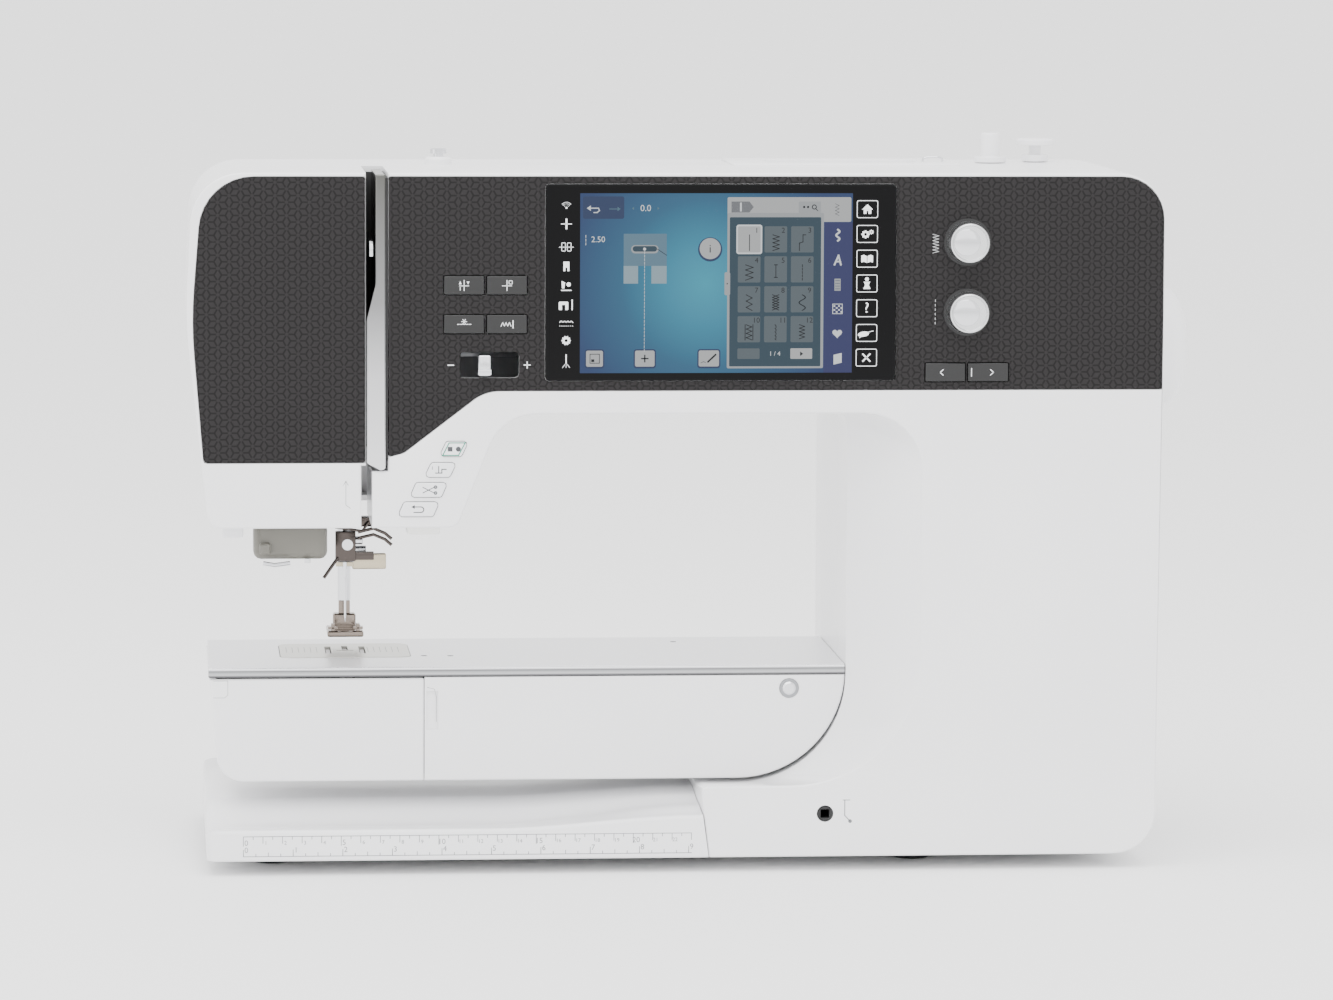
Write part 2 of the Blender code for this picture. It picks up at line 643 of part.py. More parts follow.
def freearm():
    outline = arm_outline()
    cover = loft("freearm_cover", [
        ring_at(outline, ARM_FACE, EDGE),
        ring_at(outline, ARM_FACE + EDGE),
        ring_at(outline, ARM_BACK - EDGE),
        ring_at(outline, ARM_BACK, EDGE),
    ])
    cavity = [(x, z if i not in (2, 3) else BED_TOP + 7.5, r) for i, (x, z, r) in enumerate(outline)]
    hollow = loft("arm_hollow", [
        ring_at(cavity, ARM_FACE + WALL, WALL),
        ring_at(cavity, ARM_BACK - WALL, WALL),
    ])
    opening = block("door_opening", (ARM_LEFT - 8.0, ARM_FACE - 5.0, 30.0), (DOOR_RIGHT, ARM_FACE + WALL + 1.0, BED_TOP + 7.5))
    recess = block("finger_recess", (DOOR_RIGHT + 1.0, ARM_FACE - 5.0, 70.0), (DOOR_RIGHT + 7.0, ARM_FACE + 1.2, 90.0))
    seat = block("rail_seat", (ARM_LEFT - 8.0, ARM_FACE - 5.0, RAIL_LOW - GAP), (THROAT_RIGHT + 3.8, ARM_FACE + 1.5 + GAP, BED_TOP + 7.5))
    stud_hole = rod("stud_hole", "Y", HOOP_STUD, ARM_FACE - 5.0, ARM_FACE + 8.0, 5.2)
    way = block("arm_end_way", (ARM_WAY[0], *ARM_WAY[2:4]), (ARM_WAY[1], *ARM_WAY[4:6]))
    for cutter in (hollow, opening, recess, seat, stud_hole, way):
        boolean(cover, cutter, "DIFFERENCE", "MANIFOLD")
    finish(cover, WHITE, 0.28)

    bed = block(
        "freearm_bed",
        (ARM_LEFT - 1.0, ARM_FACE + 2.2, BED_TOP - BED_PLATE),
        (THROAT_RIGHT - GAP, ARM_BACK, BED_TOP),
    )
    plate = rectangle(PLATE[0], PLATE[1], PLATE[2], PLATE[3], 6.0)
    cut(bed, loft("plate_seat", [[(x, y, z) for x, y in rounded(plate, -GAP)] for z in (BED_TOP - 12.5, BED_TOP + 7.5)]))
    finish(bed, STEEL, 0.35, 0.6)

    rail = block(
        "bed_rail",
        (ARM_LEFT - 1.6, ARM_FACE - 0.4, RAIL_LOW),
        (THROAT_RIGHT - GAP, ARM_FACE + 1.5, BED_TOP),
        bevel=0.5,
    )
    finish(rail, STEEL, 0.15, 1.0)


DOOR_RIGHT = ARM_LEFT + DOOR_WIDTH
ARM_WAY = (26.0, 90.0, 0.0, 46.5, 52.0, 82.0)
RAIL_LOW = BED_TOP - RAIL_HEIGHT
HOOP_STUD = (46.7, 90.3)
PLATE = (-216.4, -148.4, -19.0, 38.0)


def bobbin_door():
    """The door under the bed's left end; it turns down about its lower edge."""
    low = BASE_SEAM_TOP + 2.0 + GAP
    thickness = WALL - GAP
    origin = (0.0, ARM_FACE + thickness / 2, low + thickness / 2)
    outline = [
        (ARM_LEFT + 3.4, low, 14.0),
        (DOOR_RIGHT - GAP, low, 1.0),
        (DOOR_RIGHT - GAP, RAIL_LOW - 2 * GAP, 1.0),
        (ARM_LEFT - 1.2, RAIL_LOW - 2 * GAP, 1.0),
        (ARM_LEFT, BED_TOP - 12.5, 0.0),
    ]
    door = prism("bobbin_door", outline, "Y", ARM_FACE, ARM_FACE + thickness, EDGE, origin=origin)
    return finish(door, WHITE, 0.28)


def stitch_plate():
    outline = rectangle(*PLATE, 6.0)
    plate = loft("stitch_plate", [
        [(x, y, BED_TOP - BED_PLATE) for x, y in rounded(outline)],
        [(x, y, BED_TOP + 0.3) for x, y in rounded(outline)],
    ])
    cut(plate, block("needle_slot", (NEEDLE_X - 4.5, SHAFT_Y - 1.0, BED_TOP - 12.5), (NEEDLE_X + 4.5, SHAFT_Y + 1.0, BED_TOP + 7.5)))
    for i, (x, y0, y1) in enumerate(FEED_ROWS):
        low = (x - 1.6, y0 - FEED_TRAVEL - 0.5, BED_TOP - 12.5)
        cut(plate, block(f"feed_slot_{i}", low, (x + 1.6, y1 + FEED_TRAVEL + 0.5, BED_TOP + 7.5)))
    return finish(plate, STEEL, 0.35, 0.9)


FEED_TRAVEL = 2.0
FEED_ROWS = [
    (NEEDLE_X - 9.0, SHAFT_Y - 10.0, SHAFT_Y + 14.0),
    (NEEDLE_X + 9.0, SHAFT_Y - 10.0, SHAFT_Y + 14.0),
    (NEEDLE_X, SHAFT_Y + 4.0, SHAFT_Y + 16.0),
]


def feed_dog():
    origin = (NEEDLE_X, SHAFT_Y + 8.0, BED_TOP - 6.0)
    carrier = block("feed_dog", (NEEDLE_X - 11.0, SHAFT_Y + 5.0, BED_TOP - 9.0), (NEEDLE_X + 11.0, SHAFT_Y + 15.0, BED_TOP - 6.0), origin)
    for i, (x, y0, y1) in enumerate(FEED_ROWS):
        join(carrier, block(f"feed_row_{i}", (x - 1.1, y0, BED_TOP - 8.5 + 0.2 * i), (x + 1.1, y1, BED_TOP - 0.7)))
    return finish(carrier, STEEL, 0.3, 1.0)


def hook_group():
    """The rotary hook on the lower shaft's end, its bobbin case and bobbin."""
    centre = (SHAFT_Y, HOOK_Z)
    x = NEEDLE_X
    hook = turned("rotary_hook", [(x - 7.0, 15.0), (x + 5.0, 16.5), (x + 9.0, 9.0), (x + 12.0, 9.0)], "X", centre, 32, (x, *centre))
    cut(hook, rod("hook_cup", "X", centre, x - 20.0, x + 3.0, 13.4, 32))
    finish(hook, STEEL, 0.2, 1.0)
    shaft = rod("lower_shaft", "X", centre, x + 12.0 + GAP, 190.0, 4.0, 16, (x, *centre))
    wheel = rod("lower_pulley", "X", centre, BELT_X - 15.0 - 8.0, BELT_X - 15.0, 14.0, 24)
    join(shaft, wheel)
    finish(shaft, STEEL, 0.3, 1.0)
    case = rod("bobbin_case", "X", centre, x - 9.0, x + 2.0, 13.0, 32)
    cut(case, rod("case_cup", "X", centre, x - 20.0, x + 1.0, 11.4, 32))
    finish(case, STEEL, 0.25, 1.0)
    bobbin = turned("bobbin", [
        (x - 8.6, 11.0), (x - 7.8, 11.0), (x - 7.8, 5.0), (x, 5.0), (x, 11.0), (x + 0.7, 11.0),
    ], "X", centre, 24)
    finish(bobbin, STEEL, 0.25, 1.0)


# ---------------------------------------------------------------- frame and drive
def machine_frame():
    """The cast frame: a low beam, a column and an arm beam that carries the shafts."""
    outline = [
        (-140.0, 47.5, 2.0), (70.0, 47.5, 2.0), (100.0, 20.0, 4.0), (180.0, 20.0, 4.0), (180.0, HEIGHT - 10.0, 6.0),
        (-150.0, HEIGHT - 10.0, 4.0), (-150.0, THROAT_TOP + 5.0, 4.0), (110.0, THROAT_TOP + 5.0, 8.0), (110.0, 60.0, 8.0), (-140.0, 60.0, 2.0),
    ]
    frame = prism("machine_frame", outline, "Y", 28.0, 50.0)
    cut(frame, block("arm_window", (-130.0, 20.0, THROAT_TOP + 21.0), (90.0, 60.0, HEIGHT - 24.0)))
    cut(frame, block("column_window", (126.0, 20.0, 40.0), (164.0, 60.0, THROAT_TOP - 7.0)))
    return finish(frame, CAST, 0.6, 0.4)


def main_shaft():
    """Shaft, crank disc with its pin, and the large belt pulley."""
    centre = (SHAFT_Y, SHAFT_Z)
    origin = (0.0, *centre)
    shaft = rod("main_shaft", "X", centre, -166.0, BODY_RIGHT + 1.0, SHAFT_RADIUS, 20, origin)
    join(shaft, rod("crank_disc", "X", centre, -168.0, -160.0, 21.0, 28))
    join(shaft, rod("crank_pin", "X", (SHAFT_Y, SHAFT_Z + CRANK_RADIUS), -170.5, -165.0, 3.0, 16))
    join(shaft, rod("shaft_pulley", "X", centre, BELT_X, BELT_X + 8.0, 22.0, 32))
    return finish(shaft, STEEL, 0.3, 1.0)


def handwheel():
    x = BODY_RIGHT + 1.2
    shoulder = x + 16.0
    profile = [(x + 0.4, 24.0), (x + 0.4, WHEEL_RADIUS - 0.6), (x + 1.0, WHEEL_RADIUS)]
    dome = HANDWHEEL_END - shoulder
    for i in range(9):
        angle = math.radians(90.0 * i / 9)
        profile.append((shoulder + dome * math.sin(angle), WHEEL_RADIUS * math.cos(angle)))
    origin = (x, SHAFT_Y, SHAFT_Z)
    wheel = turned("handwheel", profile + [(HANDWHEEL_END, 5.0)], "X", (SHAFT_Y, SHAFT_Z), 40, origin)
    return finish(wheel, WHITE, 0.25)


HANDWHEEL_END = BODY_RIGHT + 30.1


def motor_group():
    centre = (-20.0, 150.0)
    motor = turned("drive_motor", [(112.0, 24.0), (186.0, 24.0), (186.0, 8.0), (190.0, 8.0)], "X", centre, 28)
    finish(motor, CAST, 0.4, 0.8)
    pulley = rod("motor_pulley", "X", centre, BELT_X, BELT_X + 8.0, 7.0, 20, (BELT_X, *centre))
    join(pulley, rod("motor_spindle", "X", centre, 190.0 + GAP, BELT_X + 1.0, 3.0, 16))
    finish(pulley, STEEL, 0.3, 1.0)
    supply = block("power_supply", (THROAT_RIGHT + 35.8, -86.0, 20.0), (215.0, -40.0, 110.0), bevel=1.0)
    finish(supply, STEEL, 0.5, 0.8)
    belt = belt_loop("drive_belt", (SHAFT_Y, SHAFT_Z), 22.0 + GAP, centre, 7.0 + GAP, 1.6)
    finish(belt, RUBBER, 0.8)


def tangent_loop(first, r1, second, r2, steps=12):
    """The closed path of a belt round two pulleys, as (y, z) points."""
    a = Vector(first)
    b = Vector(second)
    between = b - a
    lean = math.atan2(between.y, between.x)
    spread = math.acos((r1 - r2) / between.length)
    points = []
    for k in range(steps + 1):
        angle = lean + spread + (math.tau - 2 * spread) * k / steps
        points.append((a.x + r1 * math.cos(angle), a.y + r1 * math.sin(angle)))
    for k in range(steps + 1):
        angle = lean - spread + 2 * spread * k / steps
        points.append((b.x + r2 * math.cos(angle), b.y + r2 * math.sin(angle)))
    return points


def belt_loop(name, first, r1, second, r2, thickness):
    outside = tangent_loop(first, r1 + thickness, second, r2 + thickness)
    inside = tangent_loop(first, r1, second, r2)
    rings = [[(BELT_X + 1.0, y, z) for y, z in outside], [(BELT_X + 7.0, y, z) for y, z in outside]]
    belt = loft(name, rings)
    hole = loft("belt_hole", [[(BELT_X - 5.0, y, z) for y, z in inside], [(BELT_X + 15.0, y, z) for y, z in inside]])
    return cut(belt, hole)


# ---------------------------------------------------------------- needle, lever and foot
def needle_bar():
    """The bar, its clamp and the needle, which slide down together; the rod's eye rides with them."""
    low = BED_TOP + 47.5
    top = SHAFT_Z + 55.0
    origin = (NEEDLE_X, SHAFT_Y, low)
    centre = (NEEDLE_X, SHAFT_Y)
    bar = rod("needle_bar", "Z", centre, low + 3.0, top, BAR_RADIUS, 16, origin)
    join(bar, block("needle_clamp", (NEEDLE_X - 4.5, SHAFT_Y - 4.5, low), (NEEDLE_X + 4.5, SHAFT_Y + 4.5, low + 12.0), bevel=0.6))
    join(bar, rod("clamp_screw", "X", (SHAFT_Y, low + 6.0), NEEDLE_X + 3.0, NEEDLE_X + 11.0, 2.4, 12))
    join(bar, turned("needle", [(low - 32.0, 0.15), (low - 29.0, 0.5), (low - 10.0, 0.6), (low - 8.0, 1.0), (low + 1.0, 1.0)], "Z", centre, 10))
    stud_z = SHAFT_Z + CRANK_RADIUS - ROD_LENGTH
    join(bar, rod("bar_stud", "X", (SHAFT_Y, stud_z), NEEDLE_X, -176.0, 3.0, 14))
    finish(bar, STEEL, 0.2, 1.0)

    link = prism("connecting_rod", [
        (SHAFT_Y - 2.5, stud_z, 0.0), (SHAFT_Y + 2.5, stud_z, 0.0),
        (SHAFT_Y + 2.5, SHAFT_Z + CRANK_RADIUS, 0.0), (SHAFT_Y - 2.5, SHAFT_Z + CRANK_RADIUS, 0.0),
    ], "X", -175.0, -172.0)
    join(link, rod("rod_eye", "X", (SHAFT_Y, SHAFT_Z + CRANK_RADIUS), -175.5, -171.5, 6.0, 20))
    join(link, rod("rod_foot", "X", (SHAFT_Y, stud_z), -175.7, -171.5, 5.0, 20))
    finish(link, STEEL, 0.35, 0.9)


def take_up_lever():
    """A flat lever in the thread slot, hinged in the head; its eyed tip shows in the slot."""
    x = SLOT_LEFT + 3.0
    pivot = (-38.0, SHAFT_Z + 59.0)
    outline = [
        (pivot[0] + 5.0, pivot[1] - 5.0, 4.5), (pivot[0] + 5.0, pivot[1] + 5.0, 4.5),
        (-86.0, pivot[1] + 3.0, 2.0), (-92.0, pivot[1] + 2.0, 2.0), (-92.0, pivot[1] - 5.5, 2.0), (-84.0, pivot[1] - 5.5, 2.0),
    ]
    lever = prism("take_up_lever", outline, "X", x - 1.0, x + 1.0, origin=(x, *pivot))
    cut(lever, rod("thread_eye", "X", (-88.0, pivot[1] - 1.6), x - 5.0, x + 5.0, 1.5, 12))
    return finish(lever, STEEL, 0.15, 1.0)


FOOT_X = NEEDLE_X
PRESSER_Y = SHAFT_Y + 16.0
SOLE = BED_TOP + 8.3


def presser():
    """The presser bar behind the needle, and the clip-on foot with its ankle."""
    bar = rod("presser_bar", "Z", (FOOT_X, PRESSER_Y), SOLE + 17.2, SHAFT_Z + 37.0, 3.4, 16, (FOOT_X, PRESSER_Y, SOLE + 17.2))
    finish(bar, STEEL, 0.2, 1.0)
    pin_y = PRESSER_Y - 3.4 - GAP
    pin_z = SOLE + 38.2
    origin = (FOOT_X, pin_y - 2.5, pin_z)
    lever = block("clamp_lever", (FOOT_X + 4.0, pin_y - 5.0, pin_z - 4.0), (FOOT_X + 22.0, pin_y - 2.5, pin_z + 4.5), origin, 0.8, 2)
    join(lever, block("clamp_lever_arm", (FOOT_X - 4.5, pin_y - 4.6, pin_z - 2.5), (FOOT_X + 8.0, pin_y - 2.2, pin_z + 2.5)))
    join(lever, rod("clamp_pin", "Y", (FOOT_X, pin_z), pin_y - 3.0, pin_y, 2.0, 14))
    finish(lever, (0.55, 0.5, 0.42), 0.35, 0.9)
    foot = block("presser_foot", (FOOT_X - 9.5, SHAFT_Y - 8.0, SOLE), (FOOT_X + 9.5, SHAFT_Y + 20.0, SOLE + 3.0), bevel=0.8, segments=2)
    cut(foot, block("foot_slot", (FOOT_X - 4.5, SHAFT_Y - 1.2, SOLE - 10.0), (FOOT_X + 4.5, SHAFT_Y + 1.2, SOLE + 9.0)))
    join(foot, block("foot_ankle", (FOOT_X - 6.0, PRESSER_Y - 5.0, SOLE + 2.2), (FOOT_X + 6.0, PRESSER_Y + 3.0, SOLE + 10.2), bevel=0.8))
    join(foot, block("foot_shank", (FOOT_X - 3.0, PRESSER_Y - 3.0, SOLE + 9.2), (FOOT_X + 3.0, PRESSER_Y + 2.5, SOLE + 17.2 - GAP)))
    finish(foot, STEEL, 0.2, 1.0)


def presser_lifter():
    """The lever at the rear of the head that raises the presser bar by hand."""
    z = HEAD_BOTTOM + 21.0
    lever = block("presser_lifter", (-158.0, 42.0, z - 4.0), (-152.0, 78.0, z + 2.0), (-155.0, 46.0, z), 1.5, 2)
    join(lever, block("lifter_tip", (-166.0, 72.0, z - 6.0), (-144.0, 84.0, z + 3.0), bevel=2.0, segments=2))
    return finish(lever, DARK, 0.4)


def needle_threader():
    x0, x1 = -231.0, -192.6
    z = HEAD_BOTTOM - 9.0
    body = block("needle_threader", (x0, -44.0, z - 13.0), (x1, -24.0, z + 6.0), (NEEDLE_X, -34.0, z), 4.0, 3)
    join(body, block("threader_finger", (-228.0, -48.0, z - 10.0), (-222.0, -42.0, z - 4.0), bevel=1.0))
    join(body, rod("threader_post", "Z", (-198.0, -34.0), z, z + 60.0, 2.5, 12))
    finish(body, (0.16, 0.155, 0.14), 0.35)


# ---------------------------------------------------------------- top and right side
def top_pieces():
    x, y = TOP_HOLES["spool_pin"]
    pin = turned("spool_pin", [
        (HEIGHT - 10.0, 5.0), (HEIGHT + GAP, 5.0), (HEIGHT + GAP, 8.5), (HEIGHT + 3.4, 8.5),
        (HEIGHT + 3.4, 5.0), (HEIGHT + 15.2, 5.0), (HEIGHT + 16.0, 4.2),
    ], "Z", (x, y), 24, (x, y, HEIGHT))
    finish(pin, WHITE, 0.3)
    x, y = TOP_HOLES["bobbin_winder"]
    winder = turned("bobbin_winder", [
        (HEIGHT - 10.0, 5.0), (HEIGHT + GAP, 5.0), (HEIGHT + GAP, 7.0), (HEIGHT + 4.0, 7.0), (HEIGHT + 4.0, 3.2),
        (HEIGHT + 9.0, 3.2), (HEIGHT + 9.0, 10.0), (HEIGHT + 11.6, 10.0), (HEIGHT + 12.4, 9.0),
    ], "Z", (x, y), 24, (x, y, HEIGHT))
    finish(winder, WHITE, 0.3)
    left, right = LID
    low = HEIGHT - 1.5
    origin = ((left + right) / 2, 50.5, HEIGHT - 0.2)
    handle = block("carrying_handle", (left + GAP, -13.7, low), (right - GAP, 51.7, HEIGHT + 1.0), origin, 1.0, 2)
    cut(handle, block("handle_grip", (left + 20.0, 2.0, low - 5.0), (right - 20.0, 32.0, HEIGHT + 5.0), bevel=1.0))
    finish(handle, WHITE, 0.3)


def side_pieces():
    low, high = PORTS["power_inlet"]
    right = BODY_RIGHT - 1.2
    inlet = block("power_inlet", (BODY_RIGHT - 23.2, low[0] + GAP, low[1] + GAP), (right, high[0] - GAP, high[1] - GAP))
    cut(inlet, block("inlet_socket", (BODY_RIGHT - 17.2, low[0] + 4.0, low[1] + 4.0), (BODY_RIGHT + 14.8, high[0] - 4.0, high[1] - 4.0)))
    finish(inlet, BLACK, 0.5)
    low, high = PORTS["power_switch"]
    middle = ((low[0] + high[0]) / 2, (low[1] + high[1]) / 2)
    rocker = prism("power_switch", [
        (middle[0] - 9.8, middle[1] - 9.2, 1.0), (middle[0] + 9.8, middle[1] - 9.2, 1.0),
        (middle[0] + 9.8, middle[1] + 9.2, 1.0), (middle[0] - 9.8, middle[1] + 9.2, 1.0),
    ], "X", right + 2.2, right - 5.0, 1.5, origin=(right - 4.0, *middle))
    finish(rocker, BLACK, 0.3)


def knee_socket():
    """The socket that takes a knee lever; it turns a few degrees and works the presser lift."""
    origin = (KNEE[0], FRONT, KNEE[1])
    socket = rod("knee_socket", "Y", KNEE, FRONT + 0.2, FRONT + 30.0, KNEE_RADIUS, 24, origin)
    cut(socket, block("knee_square", (KNEE[0] - 2.15, FRONT - 5.0, KNEE[1] - 2.15), (KNEE[0] + 2.15, FRONT + 24.0, KNEE[1] + 2.15)))
    return finish(socket, BLACK, 0.5)


def main():
    for obj in list(bpy.data.objects):
        bpy.data.objects.remove(obj, do_unlink=True)
    front_cover()
    head_cover()
    rear_cover()
    column_cover()
    base()
    bottom_plate()
    feet()
    fascia_panel()
    head_panel()
    screen()
    knobs()
    keys_and_buttons()
    speed_slider()
    lever_trim()
    freearm()
    bobbin_door()
    stitch_plate()
    feed_dog()
    hook_group()
    machine_frame()
    main_shaft()
    handwheel()
    motor_group()
    needle_bar()
    take_up_lever()
    presser()
    presser_lifter()
    needle_threader()
    top_pieces()
    side_pieces()
    knee_socket()


main()
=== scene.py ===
# %% [markdown]
# # A computerised sewing machine
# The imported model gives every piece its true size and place. This script gives each one its finish:
# softened edges, moulded plastic, embossed fascia film, black glass with a lit display, brushed and
# polished metal. It works in millimetres and turns them into metres where a mesh is made.

# %% Load the frame
import json
import math

import bmesh
import bpy
from mathutils import Matrix, Vector


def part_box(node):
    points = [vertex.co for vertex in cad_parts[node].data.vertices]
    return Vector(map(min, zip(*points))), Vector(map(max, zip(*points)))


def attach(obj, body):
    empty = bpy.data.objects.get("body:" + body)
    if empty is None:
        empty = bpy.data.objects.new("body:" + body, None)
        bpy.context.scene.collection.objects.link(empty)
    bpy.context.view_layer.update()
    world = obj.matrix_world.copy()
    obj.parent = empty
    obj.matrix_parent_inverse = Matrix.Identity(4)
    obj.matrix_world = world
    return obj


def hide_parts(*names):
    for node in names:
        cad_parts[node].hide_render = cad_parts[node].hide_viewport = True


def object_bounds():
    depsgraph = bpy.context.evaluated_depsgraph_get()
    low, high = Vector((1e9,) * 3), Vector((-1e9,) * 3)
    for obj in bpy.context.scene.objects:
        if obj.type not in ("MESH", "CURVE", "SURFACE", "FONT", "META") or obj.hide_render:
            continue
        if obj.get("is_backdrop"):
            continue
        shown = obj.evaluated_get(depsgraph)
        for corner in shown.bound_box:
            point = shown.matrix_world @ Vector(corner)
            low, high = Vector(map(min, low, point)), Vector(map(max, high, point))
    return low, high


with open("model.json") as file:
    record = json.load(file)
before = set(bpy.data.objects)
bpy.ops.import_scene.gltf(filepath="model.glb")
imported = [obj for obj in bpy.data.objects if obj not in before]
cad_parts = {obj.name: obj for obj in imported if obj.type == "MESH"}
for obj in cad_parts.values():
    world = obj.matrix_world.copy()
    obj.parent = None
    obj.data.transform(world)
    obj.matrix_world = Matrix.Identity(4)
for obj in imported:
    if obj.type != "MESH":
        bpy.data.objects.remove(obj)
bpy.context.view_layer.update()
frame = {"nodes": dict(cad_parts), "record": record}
MM = 0.001


# %% [markdown]
# ## Places read from the frame
# The front plane, the glass and the base are looked up in the model, so the artwork follows them.

# %% Places
def box_mm(node):
    low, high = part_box(node)
    return low / MM, high / MM


GLASS_LOW, GLASS_HIGH = box_mm("screen_glass")
PANEL_LOW, PANEL_HIGH = box_mm("fascia_panel")
BASE_LOW, BASE_HIGH = box_mm("base")
BED_LOW, BED_HIGH = box_mm("freearm_bed")
PLATE_LOW, PLATE_HIGH = box_mm("stitch_plate")
COVER_LOW, COVER_HIGH = box_mm("front_cover")
FRONT = PANEL_LOW.y
print("front plane at", round(FRONT, 2), "mm")


# %% [markdown]
# ## Small helpers
# Colours are sRGB hex values. One function turns them into the linear numbers that shaders use, and
# one function adds a node, sets its values and links what feeds it.

# %% Colour and node helpers
def hex_colour(text):
    channels = [int(text[i : i + 2], 16) / 255 for i in (1, 3, 5)]
    linear = [c / 12.92 if c <= 0.04045 else ((c + 0.055) / 1.055) ** 2.4 for c in channels]
    return (*linear, 1.0)


def add_node(tree, kind, settings=None, links=None, **values):
    """A node with its settings, its socket values, and links from other nodes' sockets."""
    node = tree.nodes.new(kind)
    for name, value in (settings or {}).items():
        setattr(node, name, value)
    for name, value in values.items():
        node.inputs[int(name[1:])].default_value = value
    for name, source in (links or {}).items():
        tree.links.new(source, node.inputs[name])
    return node


def new_material(name, colour, roughness, metallic=0.0, **sockets):
    made = bpy.data.materials.new(name)
    made.use_nodes = True
    shader = made.node_tree.nodes["Principled BSDF"]
    shader.inputs["Base Color"].default_value = hex_colour(colour)
    shader.inputs["Roughness"].default_value = roughness
    shader.inputs["Metallic"].default_value = metallic
    for key, value in sockets.items():
        shader.inputs[key.replace("_", " ")].default_value = value
    return made, made.node_tree, shader


def object_coordinates(tree):
    return add_node(tree, "ShaderNodeTexCoord").outputs["Object"]


def surface_grain(tree, shader, size_mm, depth_mm, stretch=(1.0, 1.0, 1.0)):
    """A fine noise bump, size_mm from crest to crest and depth_mm deep."""
    mapping = add_node(tree, "ShaderNodeMapping", links={"Vector": object_coordinates(tree)})
    mapping.inputs["Scale"].default_value = [s / (size_mm * MM) for s in stretch]
    noise = add_node(tree, "ShaderNodeTexNoise", links={"Vector": mapping.outputs[0]})
    noise.inputs["Scale"].default_value = 1.0
    noise.inputs["Detail"].default_value = 3.0
    bump = add_node(tree, "ShaderNodeBump", links={"Height": noise.outputs[0]})
    bump.inputs["Distance"].default_value = depth_mm * MM
    tree.links.new(bump.outputs[0], shader.inputs["Normal"])
    return noise


def tone_variation(tree, shader, low, high, size_mm):
    """A very slight drift between two near tones, as any moulded or rolled surface has."""
    mapping = add_node(tree, "ShaderNodeMapping", links={"Vector": object_coordinates(tree)})
    mapping.inputs["Scale"].default_value = [1.0 / (size_mm * MM)] * 3
    noise = add_node(tree, "ShaderNodeTexNoise", links={"Vector": mapping.outputs[0]})
    noise.inputs["Scale"].default_value = 1.0
    ramp = add_node(tree, "ShaderNodeValToRGB", links={"Fac": noise.outputs[0]})
    ramp.color_ramp.elements[0].color = hex_colour(low)
    ramp.color_ramp.elements[1].color = hex_colour(high)
    tree.links.new(ramp.outputs[0], shader.inputs["Base Color"])


# %% [markdown]
# ## White moulded ABS
# The casing is white ABS from a polished mould: a soft gloss over a barely visible orange-peel wave.
# A colour ramp between two whites keeps large faces from looking flat.

# %% White ABS
def moulded_white_abs(name, low="#E9E9EB", high="#F3F3F4", roughness=0.26):
    made, tree, shader = new_material(name, high, roughness, IOR=1.53, Coat_Weight=0.25, Coat_Roughness=0.12)
    tone_variation(tree, shader, low, high, 90.0)
    surface_grain(tree, shader, 2.4, 0.010)
    return made


WHITE_ABS = moulded_white_abs("moulded white ABS")
WHITE_KEY = moulded_white_abs("white key ABS", "#E4E5E8", "#EEEFF1", 0.34)


# %% [markdown]
# ## Embossed fascia film
# The dark fascia carries a film embossed with six-petalled flowers. Their centres lie on a hexagonal
# lattice, and between neighbouring petals a dark groove runs from near one centre to where three
# flowers meet. Two interleaved rectangular grids give the nearest centre; folding the angle to one
# sixth of a turn leaves a single groove to measure, so a few maths nodes draw the whole pattern.

# %% Fascia film
PETAL_PITCH = 6.7
PETAL_LINE = 0.34


def maths(tree, operation, a, b=None, c=None):
    node = tree.nodes.new("ShaderNodeMath")
    node.operation = operation
    for i, value in enumerate((a, b, c)):
        if value is None:
            continue
        if isinstance(value, (int, float)):
            node.inputs[i].default_value = value
        else:
            tree.links.new(value, node.inputs[i])
    return node.outputs[0]


def petal_distance(tree):
    """The distance in millimetres from the nearest groove between two petals, on the X-Z plane."""
    split = add_node(tree, "ShaderNodeSeparateXYZ", links={"Vector": object_coordinates(tree)})
    x = maths(tree, "DIVIDE", split.outputs["X"], MM)
    z = maths(tree, "DIVIDE", split.outputs["Z"], MM)
    half_x = PETAL_PITCH * math.sqrt(3) / 2
    half_z = PETAL_PITCH / 2
    x1 = maths(tree, "WRAP", x, half_x, -half_x)
    z1 = maths(tree, "WRAP", z, half_z, -half_z)
    x2 = maths(tree, "WRAP", maths(tree, "ADD", x, half_x), half_x, -half_x)
    z2 = maths(tree, "WRAP", maths(tree, "ADD", z, half_z), half_z, -half_z)
    r1 = maths(tree, "SQRT", maths(tree, "ADD", maths(tree, "MULTIPLY", x1, x1),
        maths(tree, "MULTIPLY", z1, z1)))
    r2 = maths(tree, "SQRT", maths(tree, "ADD", maths(tree, "MULTIPLY", x2, x2),
        maths(tree, "MULTIPLY", z2, z2)))
    second = maths(tree, "LESS_THAN", r2, r1)
    radius = maths(tree, "MINIMUM", r1, r2)
    t1 = maths(tree, "ARCTAN2", z1, x1)
    t2 = maths(tree, "ARCTAN2", z2, x2)
    angle = maths(tree, "ADD", t1, maths(tree, "MULTIPLY", second, maths(tree, "SUBTRACT", t2, t1)))
    folded = maths(tree, "WRAP", angle, math.pi / 6, -math.pi / 6)
    across = maths(tree, "MULTIPLY", radius, maths(tree, "ABSOLUTE", maths(tree, "SINE", folded)))
    return maths(tree, "MAXIMUM", across, maths(tree, "SUBTRACT", PETAL_PITCH * 0.2, radius))


